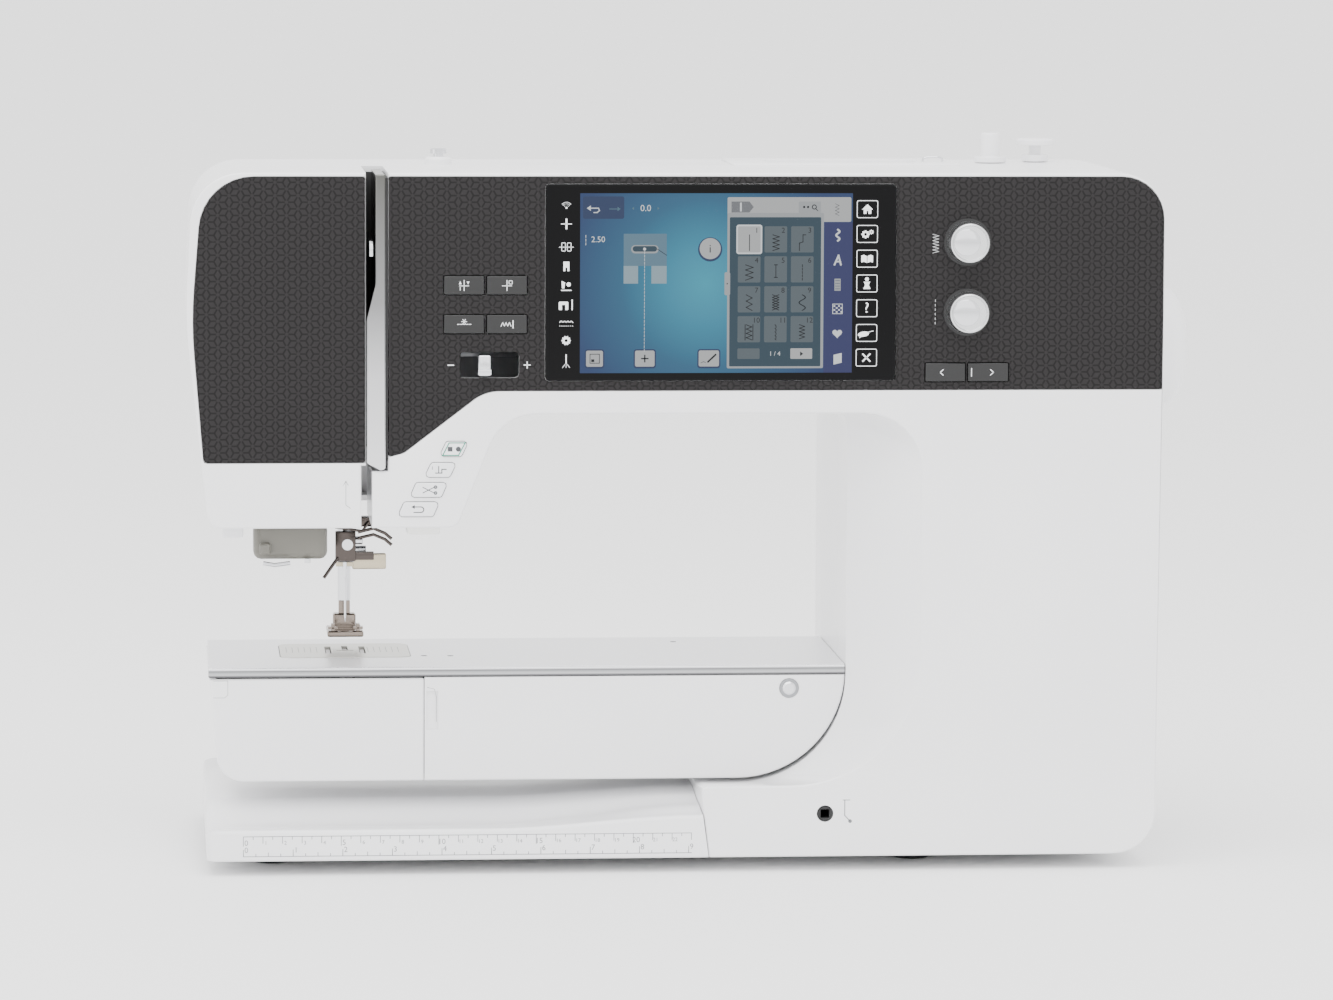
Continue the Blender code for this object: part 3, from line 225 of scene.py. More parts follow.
def embossed_film(name):
    made, tree, shader = new_material(name, "#2E2B2C", 0.5, IOR=1.45)
    shader.inputs["Specular IOR Level"].default_value = 0.2
    distance = petal_distance(tree)
    line = add_node(tree, "ShaderNodeMapRange", {"interpolation_type": "SMOOTHSTEP"}, {"Value": distance})
    line.inputs["From Min"].default_value = PETAL_LINE * 0.4
    line.inputs["From Max"].default_value = PETAL_LINE * 1.9
    tone = add_node(tree, "ShaderNodeMix", {"data_type": "RGBA"}, {"Factor": line.outputs[0]})
    tone.inputs[6].default_value = hex_colour("#0C0B0B")
    tone.inputs[7].default_value = hex_colour("#201E1F")
    tree.links.new(tone.outputs[2], shader.inputs["Base Color"])
    bump = add_node(tree, "ShaderNodeBump", links={"Height": line.outputs[0]})
    bump.inputs["Distance"].default_value = 0.12 * MM
    tree.links.new(bump.outputs[0], shader.inputs["Normal"])
    return made


FASCIA_FILM = embossed_film("embossed fascia film")
print("petal pitch", PETAL_PITCH, "mm")

# %% [markdown]
# ## Metals, glass and dark plastics
# Polished parts are chromed steel, the bed and stitch plate are brushed along X, so their grain noise
# is stretched that way, and the knobs are satin anodised aluminium. The rail and the blade carry
# painted reflections: bands of light and dark colour along their height.


# %% Metals
def metal(name, colour, roughness, grain_mm=0.0, stretch=(1.0, 1.0, 1.0), depth_mm=0.01):
    made, tree, shader = new_material(name, colour, roughness, 1.0)
    noise = surface_grain(tree, shader, grain_mm or 0.8, depth_mm, stretch)
    spread = add_node(tree, "ShaderNodeMapRange", links={"Value": noise.outputs[0]})
    spread.inputs["To Min"].default_value = roughness * 0.85
    spread.inputs["To Max"].default_value = roughness * 1.2
    tree.links.new(spread.outputs[0], shader.inputs["Roughness"])
    return made


def banded_metal(name, axis, bands, roughness):
    """Polished metal with painted reflections: its tone follows bands of (millimetres, colour) along one
    axis.
    """
    made, tree, shader = new_material(name, bands[0][1], roughness, 1.0)
    surface_grain(tree, shader, 1.2, 0.003, (0.05, 1.0, 1.0) if axis == "Z" else (1.0, 1.0, 1.0))
    split = add_node(tree, "ShaderNodeSeparateXYZ", links={"Vector": object_coordinates(tree)})
    place = add_node(tree, "ShaderNodeMapRange", links={"Value": split.outputs[axis]})
    first, last = bands[0][0], bands[-1][0]
    place.inputs["From Min"].default_value = first * MM
    place.inputs["From Max"].default_value = last * MM
    ramp = add_node(tree, "ShaderNodeValToRGB", links={"Fac": place.outputs[0]})
    stops = ramp.color_ramp.elements
    stops[0].color = hex_colour(bands[0][1])
    stops[1].color = hex_colour(bands[-1][1])
    for reach, colour in bands[1:-1]:
        stops.new((reach - first) / (last - first)).color = hex_colour(colour)
    tree.links.new(ramp.outputs[0], shader.inputs["Base Color"])
    return made


RAIL_LOW_Z = BED_HIGH.z - 5.0
BLADE_LOW, BLADE_HIGH = box_mm("lever_trim")
# Painted reflection: the rail's stripes run from dark low down to a bright painted highlight along its top
# edge.
RAIL_PAINTED_REFLECTION = banded_metal("polished rail painted reflection bands", "Z", [
    (RAIL_LOW_Z, "#4A4A4B"), (RAIL_LOW_Z + 0.9, "#6E6E70"), (RAIL_LOW_Z + 1.5, "#B4B5B7"),
    (RAIL_LOW_Z + 2.6, "#9A9B9D"),
    (RAIL_LOW_Z + 3.4, "#6F7072"), (RAIL_LOW_Z + 4.1, "#D9DADC"), (RAIL_LOW_Z + 5.0, "#EAEAEC"),
], 0.2)
# Painted reflection: the blade is coloured bright near its foot and shaded darker towards its top.
BLADE_PAINTED_REFLECTION = banded_metal("blade painted reflection bands", "Z", [
    (BLADE_LOW.z, "#DADADC"), (BLADE_LOW.z + 45.0, "#C2C2C4"), (BLADE_LOW.z + 85.0, "#858586"),
    (BLADE_HIGH.z, "#5C5C59"),
], 0.24)
FOOT_STEEL = metal("dark nickel foot steel", "#7E746C", 0.16, 0.8, depth_mm=0.01)
DARK_STEEL = metal("dark blued steel", "#4D4744", 0.2, 0.8, depth_mm=0.01)
CHROME = metal("chromed steel", "#D6D7DA", 0.10, 3.0, depth_mm=0.003)
BRUSHED_BED = metal("brushed bed steel", "#EFEFF1", 0.34, 0.5, (0.02, 1.0, 1.0), 0.006)
STITCH_STEEL = metal("ground stitch plate steel", "#CFCEC8", 0.34, 0.4, (1.0, 0.03, 1.0), 0.006)
SATIN_KNOB = metal("satin anodised knob", "#D3D4D5", 0.26, 0.25, depth_mm=0.004)
GOLD_STEEL = metal("warm nickel lever", "#B9AE97", 0.24, 1.0, depth_mm=0.004)
CAST_ALUMINIUM = metal("sand cast aluminium", "#9A9C9F", 0.55, 1.2, depth_mm=0.06)


# %% Dark plastics, rubber and glass
def plain_plastic(name, colour, roughness, grain_mm, depth_mm, **sockets):
    made, tree, shader = new_material(name, colour, roughness, IOR=1.5, **sockets)
    surface_grain(tree, shader, grain_mm, depth_mm)
    return made


BLACK_GLASS = plain_plastic("black screen glass", "#040405", 0.08, 30.0, 0.002)
BLACK_GLASS.node_tree.nodes["Principled BSDF"].inputs["Specular IOR Level"].default_value = 0.12
PIANO_BLACK = plain_plastic("piano black button", "#050506", 0.4, 6.0, 0.004)
# Matt black plastic for sockets and the display module; the same black is painted shade in the thread slot
# and the bed holes.
MATT_BLACK_AND_SHADE = plain_plastic("matt black and painted shade", "#0C0C0D", 0.6, 0.6, 0.01)
OLIVE_PLASTIC = plain_plastic("threader housing plastic", "#66645C", 0.3, 1.5, 0.01)
SOFT_RUBBER = plain_plastic("grey foot rubber", "#2C2D2F", 0.75, 0.7, 0.03)
BOARD_GREEN = plain_plastic("circuit board lacquer", "#1E5A3A", 0.4, 1.0, 0.01)
# Grey ink for print, also drawn as a painted shade line at the finger recess on the free arm.
GREY_PRINT_AND_SHADE = plain_plastic("grey printing ink and painted shade line", "#6E7073", 0.5, 0.5, 0.002)
DARK_PRINT = plain_plastic("dark printing ink", "#3A3C40", 0.5, 0.5, 0.002)
LIGHT_LENS = plain_plastic("frosted light lens", "#F4F4F0", 0.35, 0.8, 0.01)


# %% [markdown]
# ## Lit display colours
# Everything on the display shines a little by itself. The background is a radial sweep from light
# cyan at the middle to deep blue at the corners, from a gradient texture centred on the display.

# %% Display materials
DISPLAY_LEFT = GLASS_LOW.x + 17.6
DISPLAY_WIDTH = 139.4
DISPLAY_TOP = GLASS_HIGH.z - 4.6
DISPLAY_HEIGHT = 91.7


def lit(name, colour, strength=1.0, roughness=0.35):
    """A display ink: almost black by itself, so its colour is the light it gives."""
    made, tree, shader = new_material(name, "#050506", roughness)
    surface_grain(tree, shader, 5.0, 0.001)
    shader.inputs["Specular IOR Level"].default_value = 0.2
    shader.inputs["Emission Color"].default_value = hex_colour(colour)
    shader.inputs["Emission Strength"].default_value = strength
    return made


def printed(name, colour, roughness=0.45):
    made, tree, shader = new_material(name, colour, roughness)
    surface_grain(tree, shader, 2.0, 0.001)
    return made


def lit_sweep(name):
    made, tree, shader = new_material(name, "#050506", 0.35)
    shader.inputs["Specular IOR Level"].default_value = 0.2
    mapping = add_node(tree, "ShaderNodeMapping", links={"Vector": object_coordinates(tree)})
    reach = 74.0 * MM
    centre = Vector((DISPLAY_LEFT + 64.0, 0.0, DISPLAY_TOP - 46.0)) * MM
    mapping.inputs["Location"].default_value = (-centre.x / reach, 0.0, -centre.z / reach)
    mapping.inputs["Scale"].default_value = (1.0 / reach, 0.0, 1.0 / reach)
    sweep = add_node(tree, "ShaderNodeTexGradient", {"gradient_type": "SPHERICAL"},
        {"Vector": mapping.outputs[0]})
    ramp = add_node(tree, "ShaderNodeValToRGB", links={"Fac": sweep.outputs[1]})
    ramp.color_ramp.elements[0].color = hex_colour("#27406E")
    ramp.color_ramp.elements[1].color = hex_colour("#37A3BE")
    ramp.color_ramp.elements.new(0.42).color = hex_colour("#2C6688")
    ramp.color_ramp.elements.new(0.75).color = hex_colour("#348FAE")
    tree.links.new(ramp.outputs[0], shader.inputs["Emission Color"])
    shader.inputs["Emission Strength"].default_value = 1.0
    return made


INK = {
    "sweep": lit_sweep("display blue sweep"),
    "white": lit("display white", "#E9EDF0"),
    "silver": lit("display silver", "#A7ABAE"),
    "tile": lit("display tile grey", "#5A656B"),
    "bright": lit("display bright tile", "#B9BBBC"),
    "teal": lit("display dark teal", "#2C4553"),
    "indigo": lit("display indigo", "#2E3365"),
    "shade": lit("display shade blue", "#27395F"),
    "ink": lit("display ink", "#15191D"),
    "dim": lit("display dim grey", "#557687"),
    "leg": lit("display foot legs", "#93AAB5"),
    "foot": lit("display foot block", "#5F8094"),
    "black": BLACK_GLASS,
    "icon": printed("printed icon white", "#EDEFF1"),
    "green": lit("key light green", "#43C9A5"),
    "grey_print": GREY_PRINT_AND_SHADE,
    "dark_print": DARK_PRINT,
}
print("inks:", len(INK))


# %% [markdown]
# ## Softened CAD pieces
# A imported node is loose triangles. A copy is merged, its flat faces are joined again, and its sharp
# edges get a small rounded bevel, as every moulded or machined edge has. The copy then replaces the
# node. This keeps each size exactly and costs one call for each piece.

# %% Softening
def mesh_piece(name, bm, material, body=None):
    """A piece from a bmesh in metres, shaded smooth with sharp edges kept."""
    mesh = bpy.data.meshes.new(name)
    bm.to_mesh(mesh)
    bm.free()
    mesh.materials.append(material)
    mesh.shade_smooth()
    mesh.set_sharp_from_angle(angle=math.radians(32))
    piece = bpy.data.objects.new(name, mesh)
    bpy.context.scene.collection.objects.link(piece)
    if body:
        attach(piece, body)
    return piece


def body_of(node):
    for body, members in frame["record"]["behaviour"]["bodies"].items():
        if node in members:
            return body


def softened(node, material, bevel_mm=0.35, segments=2, angle=34.0):
    bm = bmesh.new()
    bm.from_mesh(frame["nodes"][node].data)
    bmesh.ops.remove_doubles(bm, verts=bm.verts, dist=2e-6)
    bmesh.ops.dissolve_limit(bm, angle_limit=math.radians(0.1), verts=bm.verts, edges=bm.edges)
    piece = mesh_piece(f"{node}_finish", bm, material)
    bevel = piece.modifiers.new("soft edges", "BEVEL")
    bevel.width = bevel_mm * MM
    bevel.segments = segments
    bevel.limit_method = "ANGLE"
    bevel.angle_limit = math.radians(angle)
    bevel.harden_normals = True
    graph = bpy.context.evaluated_depsgraph_get()
    finished = bpy.data.meshes.new_from_object(piece.evaluated_get(graph))
    piece.modifiers.clear()
    piece.data = finished
    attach(piece, body_of(node))
    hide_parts(node)
    return piece


SOFTENED = {
    "rear_cover": (WHITE_ABS, 0.4), "column_rear_cover": (WHITE_ABS, 0.5),
    "front_cover": (WHITE_ABS, 0.45), "freearm_cover": (WHITE_ABS, 0.5), "bobbin_door": (WHITE_ABS, 0.5),
    "carrying_handle": (WHITE_ABS, 0.4), "handwheel": (WHITE_ABS, 0.5), "spool_pin": (WHITE_ABS, 0.5),
    "bobbin_winder": (WHITE_ABS, 0.4), "start_stop_key": (WHITE_KEY, 0.3),
    "presser_foot_key": (WHITE_KEY, 0.3),
    "thread_cutter_key": (WHITE_KEY, 0.3), "reverse_key": (WHITE_KEY, 0.3),
    "fascia_panel": (FASCIA_FILM, 0.25),
    "head_fascia": (FASCIA_FILM, 0.25), "screen_glass": (BLACK_GLASS, 0.2), "lever_trim": (BLADE_PAINTED_REFLECTION, 0.5),
    "bed_rail": (RAIL_PAINTED_REFLECTION, 0.9), "freearm_bed": (BRUSHED_BED, 0.3), "stitch_plate": (STITCH_STEEL, 0.15),
    "needle_up_down_button": (PIANO_BLACK, 0.2), "needle_stop_button": (PIANO_BLACK, 0.2),
    "securing_button": (PIANO_BLACK, 0.2), "pattern_end_button": (PIANO_BLACK, 0.2),
    "needle_left_button": (PIANO_BLACK, 0.2), "needle_right_button": (PIANO_BLACK, 0.2),
    "speed_slider": (CHROME, 0.3), "take_up_lever": (CHROME, 0.3), "presser_foot": (FOOT_STEEL, 0.3),
    "clamp_lever": (GOLD_STEEL, 0.3), "needle_threader": (OLIVE_PLASTIC, 0.5),
    "presser_lifter": (OLIVE_PLASTIC, 0.5),
    "power_inlet": (MATT_BLACK_AND_SHADE, 0.3), "power_switch": (PIANO_BLACK, 0.3), "knee_socket": (MATT_BLACK_AND_SHADE, 0.3),
    "foot_front_left": (SOFT_RUBBER, 0.4), "foot_front_right": (SOFT_RUBBER, 0.4),
    "foot_rear_left": (SOFT_RUBBER, 0.4), "foot_rear_right": (SOFT_RUBBER, 0.4),
}
for node, (finish, bevel_mm) in SOFTENED.items():
    softened(node, finish, bevel_mm)
print("softened pieces:", len(SOFTENED))

# %% [markdown]
# ## Pieces that keep their CAD mesh
# Inside pieces are seen only through openings, or when a door is open, so they keep their meshes and
# get a finish on their material slots.

# %% Finishes on carried-over nodes
KEPT = {
    "head_cover": WHITE_ABS,
    "machine_frame": CAST_ALUMINIUM, "drive_motor": CAST_ALUMINIUM, "main_shaft": CHROME,
    "motor_pulley": CHROME, "lower_shaft": CHROME, "rotary_hook": CHROME, "bobbin_case": CHROME,
    "bobbin": CHROME,
    "needle_bar": CHROME, "connecting_rod": CHROME, "presser_bar": CHROME, "feed_dog": DARK_STEEL,
    "control_board": BOARD_GREEN, "display_module": MATT_BLACK_AND_SHADE, "power_supply": CAST_ALUMINIUM,
    "bottom_plate": CAST_ALUMINIUM, "drive_belt": SOFT_RUBBER,
}
for node, finish in KEPT.items():
    data = frame["nodes"][node].data
    data.materials.clear()
    data.materials.append(finish)
print("finished nodes:", len(KEPT))

# %% [markdown]
# ## The base
# The base is one moulding: a straight front wall with the rule, a lip, a shallow valley and a ramp
# that climbs to the seam under the free arm. It is lofted along X through smooth cross-sections, so
# the ramp flows. Each section is a short list of heights joined by an eased curve.

# %% Base
def eased(t):
    return t * t * (3.0 - 2.0 * t)


def base_section(x, rise, inset, lip_drop):
    """One cross-section in the Y-Z plane; rise is 0 at the left and 1 at the seam."""
    low = BASE_LOW.z
    lip = 23.6 + 6.0 * rise - lip_drop
    valley = 22.0 + 10.0 * rise - lip_drop
    block = 32.0 + 5.0 * rise - lip_drop
    front = FRONT + inset
    points = [(front + 0.8, low), (front, low + 0.8), (front, lip - 2.0)]
    for k in range(1, 5):
        angle = math.radians(90.0 * k / 4)
        points.append((front + 2.0 * (1 - math.cos(angle)), lip - 2.0 + 2.0 * math.sin(angle)))
    for k in range(1, 7):
        t = k / 6
        points.append((front + 2.0 + (-74.0 - front - 2.0) * t, lip + (valley - lip) * eased(t)))
    for k in range(1, 9):
        t = k / 8
        points.append((-74.0 + 36.0 * t, valley + (block - valley) * eased(t)))
    points.append((BASE_HIGH.y - 3.0, block))
    for k in range(1, 5):
        angle = math.radians(90.0 * k / 4)
        points.append((BASE_HIGH.y - 3.0 + 3.0 * math.sin(angle), block - 3.0 + 3.0 * math.cos(angle)))
    points.append((BASE_HIGH.y, low))
    return [Vector((x, y, z)) * MM for y, z in points]


SEAM_FOOT = 1.9 - 0.3
SEAM_LEAN = 4.5 / 33.3


def base_shell():
    left = BASE_LOW.x
    right = BASE_HIGH.x
    stations = []
    for k in range(6):
        angle = math.radians(90.0 * k / 5)
        stations.append((left + 7.0 * (1 - math.cos(angle)), 0.0, 7.0 * (1 - math.sin(angle)),
            3.0 * (1 - math.sin(angle))))
    stations.append((-110.0, 0.0, 0.0, 0.0))
    for k in range(1, 11):
        t = k / 10
        stations.append((-110.0 + (right - 0.3 + 110.0) * t, eased(t), 0.0, 0.0))
    bm = bmesh.new()
    rings = [[bm.verts.new(p) for p in base_section(*station)] for station in stations]
    for near, far in zip(rings, rings[1:]):
        for i in range(len(near)):
            j = (i + 1) % len(near)
            bm.faces.new((near[i], near[j], far[j], far[i]))
    for vertex in rings[-1]:
        vertex.co.x = (SEAM_FOOT - SEAM_LEAN * (vertex.co.z / MM - BASE_LOW.z)) * MM
    bm.faces.new(rings[0])
    bm.faces.new(rings[-1])
    bmesh.ops.recalc_face_normals(bm, faces=bm.faces)
    piece = mesh_piece("base_moulding", bm, WHITE_ABS, "housing")
    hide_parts("base")
    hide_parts("bottom_plate")
    return piece


base_shell()
print("base from", round(BASE_LOW.x, 1), "to", round(BASE_HIGH.x, 1), "mm")

# %% [markdown]
# ## Flat artwork
# Printed and lit marks are very thin plates laid on their surface. Shapes are gathered by ink, and
# each ink becomes one piece. A layer number lifts a mark a hundredth of a millimetre over the last.

# %% Artwork tools
LAYER = 0.02
gathered = {}


def ink_mesh(ink, group):
    return gathered.setdefault((group, ink), bmesh.new())


def plate(ink, points, layer=1, group="screen", plane=None):
    """A thin closed plate in the X-Z plane, outlined by (x, z) points in millimetres."""
    area = sum(a[0] * b[1] - b[0] * a[1] for a, b in zip(points, points[1:] + points[:1]))
    if area < 0:
        points = points[::-1]
    front = (GLASS_LOW.y if plane is None else plane) - LAYER * layer
    bm = ink_mesh(ink, group)
    near = [bm.verts.new(Vector((x, front, z)) * MM) for x, z in points]
    far = [bm.verts.new(Vector((x, front + LAYER * 0.8, z)) * MM) for x, z in points]
    bm.faces.new(near)
    bm.faces.new(far[::-1])
    for i in range(len(points)):
        j = (i + 1) % len(points)
        bm.faces.new((near[j], near[i], far[i], far[j]))


def disc(ink, x, z, radius, layer=1, count=28, **where):
    points = [(x + radius * math.cos(math.tau * k / count),
        z + radius * math.sin(math.tau * k / count)) for k in range(count)]
    plate(ink, points, layer, **where)


def rounded_box(ink, left, top, width, height, radius, layer=1, **where):
    """A box with rounded corners; left and top are its upper left corner."""
    points = []
    corners = [(left + width - radius, top - radius, 0), (left + radius, top - radius, 90),
               (left + radius, top - height + radius, 180),
               (left + width - radius, top - height + radius, 270)]
    for x, z, start in corners:
        for k in range(5):
            angle = math.radians(start + 22.5 * k)
            points.append((x + radius * math.cos(angle), z + radius * math.sin(angle)))
    plate(ink, points, layer, **where)


def stroke(ink, points, width, layer=1, **where):
    """A line through points, drawn as one plate for each straight stretch, with square ends."""
    for (x0, z0), (x1, z1) in zip(points, points[1:]):
        length = math.hypot(x1 - x0, z1 - z0) or 1.0
        ux, uz = (x1 - x0) / length * width / 2, (z1 - z0) / length * width / 2
        plate(ink, [(x0 - ux + uz, z0 - uz - ux), (x1 + ux + uz, z1 + uz - ux),
                    (x1 + ux - uz, z1 + uz + ux), (x0 - ux - uz, z0 - uz + ux)], layer, **where)


def frame_box(ink, left, top, width, height, line, layer=1, **where):
    right, low = left + width, top - height
    stroke(ink, [(left, top), (right, top), (right, low), (left, low), (left, top)], line, layer, **where)


def lettering(ink, text, x, z, size, layer=1, group="screen", plane=None, align="CENTER"):
    """Numbers and plain signs, from a text object that is made a mesh and added to its ink."""
    curve = bpy.data.curves.new("lettering", "FONT")
    curve.body = text
    curve.size = size * MM
    curve.align_x = align
    curve.align_y = "CENTER"
    curve.extrude = LAYER * 0.4 * MM
    curve.resolution_u = 3
    holder = bpy.data.objects.new("lettering", curve)
    bpy.context.scene.collection.objects.link(holder)
    graph = bpy.context.evaluated_depsgraph_get()
    graph.update()
    mesh = bpy.data.meshes.new_from_object(holder.evaluated_get(graph))
    bpy.data.objects.remove(holder)
    front = (GLASS_LOW.y if plane is None else plane) - LAYER * layer
    turn = Matrix.Rotation(math.radians(90), 4, "X")
    mesh.transform(Matrix.Translation(Vector((x, front + LAYER * 0.4, z)) * MM) @ turn)
    ink_mesh(ink, group).from_mesh(mesh)
    bpy.data.meshes.remove(mesh)


def finish_artwork(group, body):
    for (owner, ink), bm in list(gathered.items()):
        if owner != group:
            continue
        bmesh.ops.remove_doubles(bm, verts=bm.verts, dist=1e-7)
        mesh_piece(f"{group}_{ink}", bm, INK[ink], body)
        del gathered[(owner, ink)]


# %% [markdown]
# ## The display
# The display shows a sewing screen: a foot on a blue field with its stitch line, a grid of twelve
# stitches, a column of category signs, and round it printed status and menu signs on black glass.
# Places are measured in millimetres from the display's upper left corner.

# %% Display background and foot
def at(x, y):
    return DISPLAY_LEFT + x, DISPLAY_TOP - y


def path(points):
    return [at(x, y) for x, y in points]


def tag(ink, x, y, width, height, radius, layer):
    rounded_box(ink, *at(x, y), width, height, radius, layer)


tag("sweep", 0.0, 0.0, DISPLAY_WIDTH, DISPLAY_HEIGHT, 0.3, 1)
tag("shade", 1.4, 1.6, 21.0, 11.4, 1.0, 2)
stroke("white", path([(4.0, 7.6), (9.3, 7.6), (9.8, 8.8), (8.6, 9.8), (7.0, 9.8)]), 0.5, 3)
plate("white", path([(3.4, 7.6), (5.4, 6.2), (5.4, 9.0)]), 3)
stroke("dim", path([(15.0, 8.0), (20.0, 8.0)]), 0.4, 3)
plate("dim", path([(20.6, 8.0), (19.0, 6.9), (19.0, 9.1)]), 3)
lettering("white", "0.0", *at(33.4, 7.7), 4.6, 3)
plate("dim", path([(26.4, 7.7), (27.4, 6.9), (27.4, 8.5)]), 3)
plate("dim", path([(40.4, 7.7), (39.4, 6.9), (39.4, 8.5)]), 3)
lettering("white", "2.50", *at(9.2, 23.6), 4.2, 3)
for k in range(3):
    stroke("white", path([(2.9, 21.4 + 1.9 * k), (2.9, 22.5 + 1.9 * k)]), 0.3, 3)
plate("foot", path([(22.2, 20.6), (44.2, 20.6), (44.2, 37.0), (22.2, 37.0)]), 2)
plate("leg", path([(22.2, 37.0), (29.6, 37.0), (29.6, 46.0), (22.2, 46.0)]), 3)
plate("leg", path([(36.4, 37.0), (44.2, 37.0), (44.2, 46.0), (36.4, 46.0)]), 3)
rounded_box("silver", *at(26.0, 26.4), 14.0, 4.2, 2.0, 3)
rounded_box("teal", *at(26.8, 26.9), 12.4, 2.8, 1.3, 4)
stroke("ink", path([(39.4, 28.4), (44.2, 31.6)]), 0.3, 4)
disc("white", *at(32.9, 28.4), 0.75, 5)
for k in range(28):
    stroke("white", path([(32.9, 29.5 + 1.85 * k), (32.9, 30.7 + 1.85 * k)]), 0.22, 5)
print("display field drawn")


# %% Display buttons and stitch grid
def soft_button(x, y, width, height, ink="bright"):
    tag("shade", x - 0.7, y - 0.7, width + 1.4, height + 1.6, 1.4, 2)
    tag(ink, x, y, width, height, 0.9, 3)


disc("shade", *at(66.4, 28.6), 6.2, 2)
disc("bright", *at(66.4, 28.2), 5.4, 3)
lettering("ink", "i", *at(66.4, 28.4), 6.0, 4)
for x, width in ((3.2, 8.6), (28.2, 10.0), (60.8, 10.4)):
    soft_button(x, 80.2, width, 8.2)
frame_box("ink", *at(5.2, 82.0), 4.8, 4.6, 0.35, 4)
plate("ink", path([(5.8, 84.6), (7.4, 84.6), (7.4, 86.0), (5.8, 86.0)]), 4)
stroke("ink", path([(31.6, 84.3), (34.8, 84.3)]), 0.7, 4)
stroke("ink", path([(33.2, 82.7), (33.2, 85.9)]), 0.7, 4)
stroke("ink", path([(65.6, 86.0), (69.4, 82.4)]), 0.9, 4)
stroke("ink", path([(61.9, 86.6), (63.2, 85.9), (64.4, 86.4)]), 0.25, 4)
tag("bright", 75.2, 2.0, 63.4, 12.6, 0.8, 2)
tag("silver", 75.2, 10.0, 49.4, 79.4, 0.8, 3)
tag("teal", 76.4, 12.2, 46.8, 76.2, 0.5, 4)
plate("dark_print", path([(77.2, 4.2), (86.4, 4.2), (88.6, 7.0), (86.4, 9.8), (77.2, 9.8)]), 3)
stroke("white", path([(82.0, 5.2), (82.0, 8.8)]), 0.9, 4)
tag("silver", 111.6, 4.2, 11.4, 5.8, 0.4, 3)
disc("ink", *at(119.6, 7.0), 1.3, 4)
disc("silver", *at(119.6, 7.0), 0.8, 5)
stroke("ink", path([(120.4, 7.9), (121.4, 8.9)]), 0.4, 4)
for k in range(2):
    disc("ink", *at(114.4 + 2.0 * k, 7.0), 0.6, 4)
stroke("dark_print", path([(131.4 + (0.9 if k % 2 else -0.9), 5.4 + 0.85 * k) for k in range(8)]), 0.3, 4)
tag("silver", 73.8, 40.2, 2.9, 11.8, 0.8, 6)
disc("ink", *at(75.2, 46.1), 0.35, 7)


def zigzag(x, y, half, step, count):
    return [(x + (half if k % 2 else -half), y + step * k) for k in range(count)]


def wave(x, y, half, length, turns):
    return [(x + half * math.sin(math.tau * turns * k / 24), y + length * k / 24) for k in range(25)]


STITCHES = [
    lambda x, y: [[(x, y), (x, y + 8.0)]],
    lambda x, y: [zigzag(x, y, 1.6, 1.0, 9)],
    lambda x, y: [[(x + 1.6, y), (x + 0.2, y), (x + 0.2, y + 3.6), (x - 1.6, y + 4.2), (x - 1.6, y + 8.0)]],
    lambda x, y: [zigzag(x, y, 1.9, 1.3, 7)],
    lambda x, y: [[(x, y), (x, y + 6.4)], [(x - 0.8, y), (x + 0.8, y)],
    [(x - 0.8, y + 6.4), (x + 0.8, y + 6.4)]],
    lambda x, y: [[(x, y + 1.7 * k), (x, y + 1.0 + 1.7 * k)] for k in range(5)],
    lambda x, y: [zigzag(x, y, 1.5, 1.6, 6)],
    lambda x, y: [zigzag(x, y, 1.6, 1.3, 7), zigzag(x, y, -1.6, 1.3, 7)],
    lambda x, y: [wave(x, y, 1.6, 8.0, 1.5)],
    lambda x, y: [zigzag(x, y, 1.4, 1.1, 8), [(x - 2.0, y), (x - 2.0, y + 7.8)],
    [(x + 2.0, y), (x + 2.0, y + 7.8)]],
    lambda x, y: [[(x - 0.25 + 0.5 * (k % 2), y + 0.9 * k), (x + 0.25, y + 0.6 + 0.9 * k)] for k in range(9)],
    lambda x, y: [zigzag(x, y, 1.3, 0.9, 9)],
]
for number, lines in enumerate(STITCHES):
    column, row = number % 3, number // 3
    x, y = 80.6 + 13.6 * column, 16.8 + 15.3 * row
    if number == 0:
        tag("white", x - 0.8, y - 0.8, 13.2, 15.0, 1.2, 5)
    tag("bright" if number == 0 else "tile", x, y, 11.6, 13.4, 0.7, 6)
    lettering("ink", str(number + 1), *at(x + 9.6, y + 2.2), 3.8, 7)
    for line in lines(x + 5.9, y + 4.4):
        stroke("ink", path(line), 0.42, 7)
tag("tile", 80.6, 79.2, 11.4, 5.4, 0.5, 5)
lettering("white", "1 / 4", *at(99.8, 82.0), 3.2, 5)
tag("bright", 107.8, 79.2, 11.2, 5.4, 0.5, 5)
plate("ink", path([(114.4, 82.0), (112.8, 80.8), (112.8, 83.2)]), 6)
print("stitches drawn:", len(STITCHES))

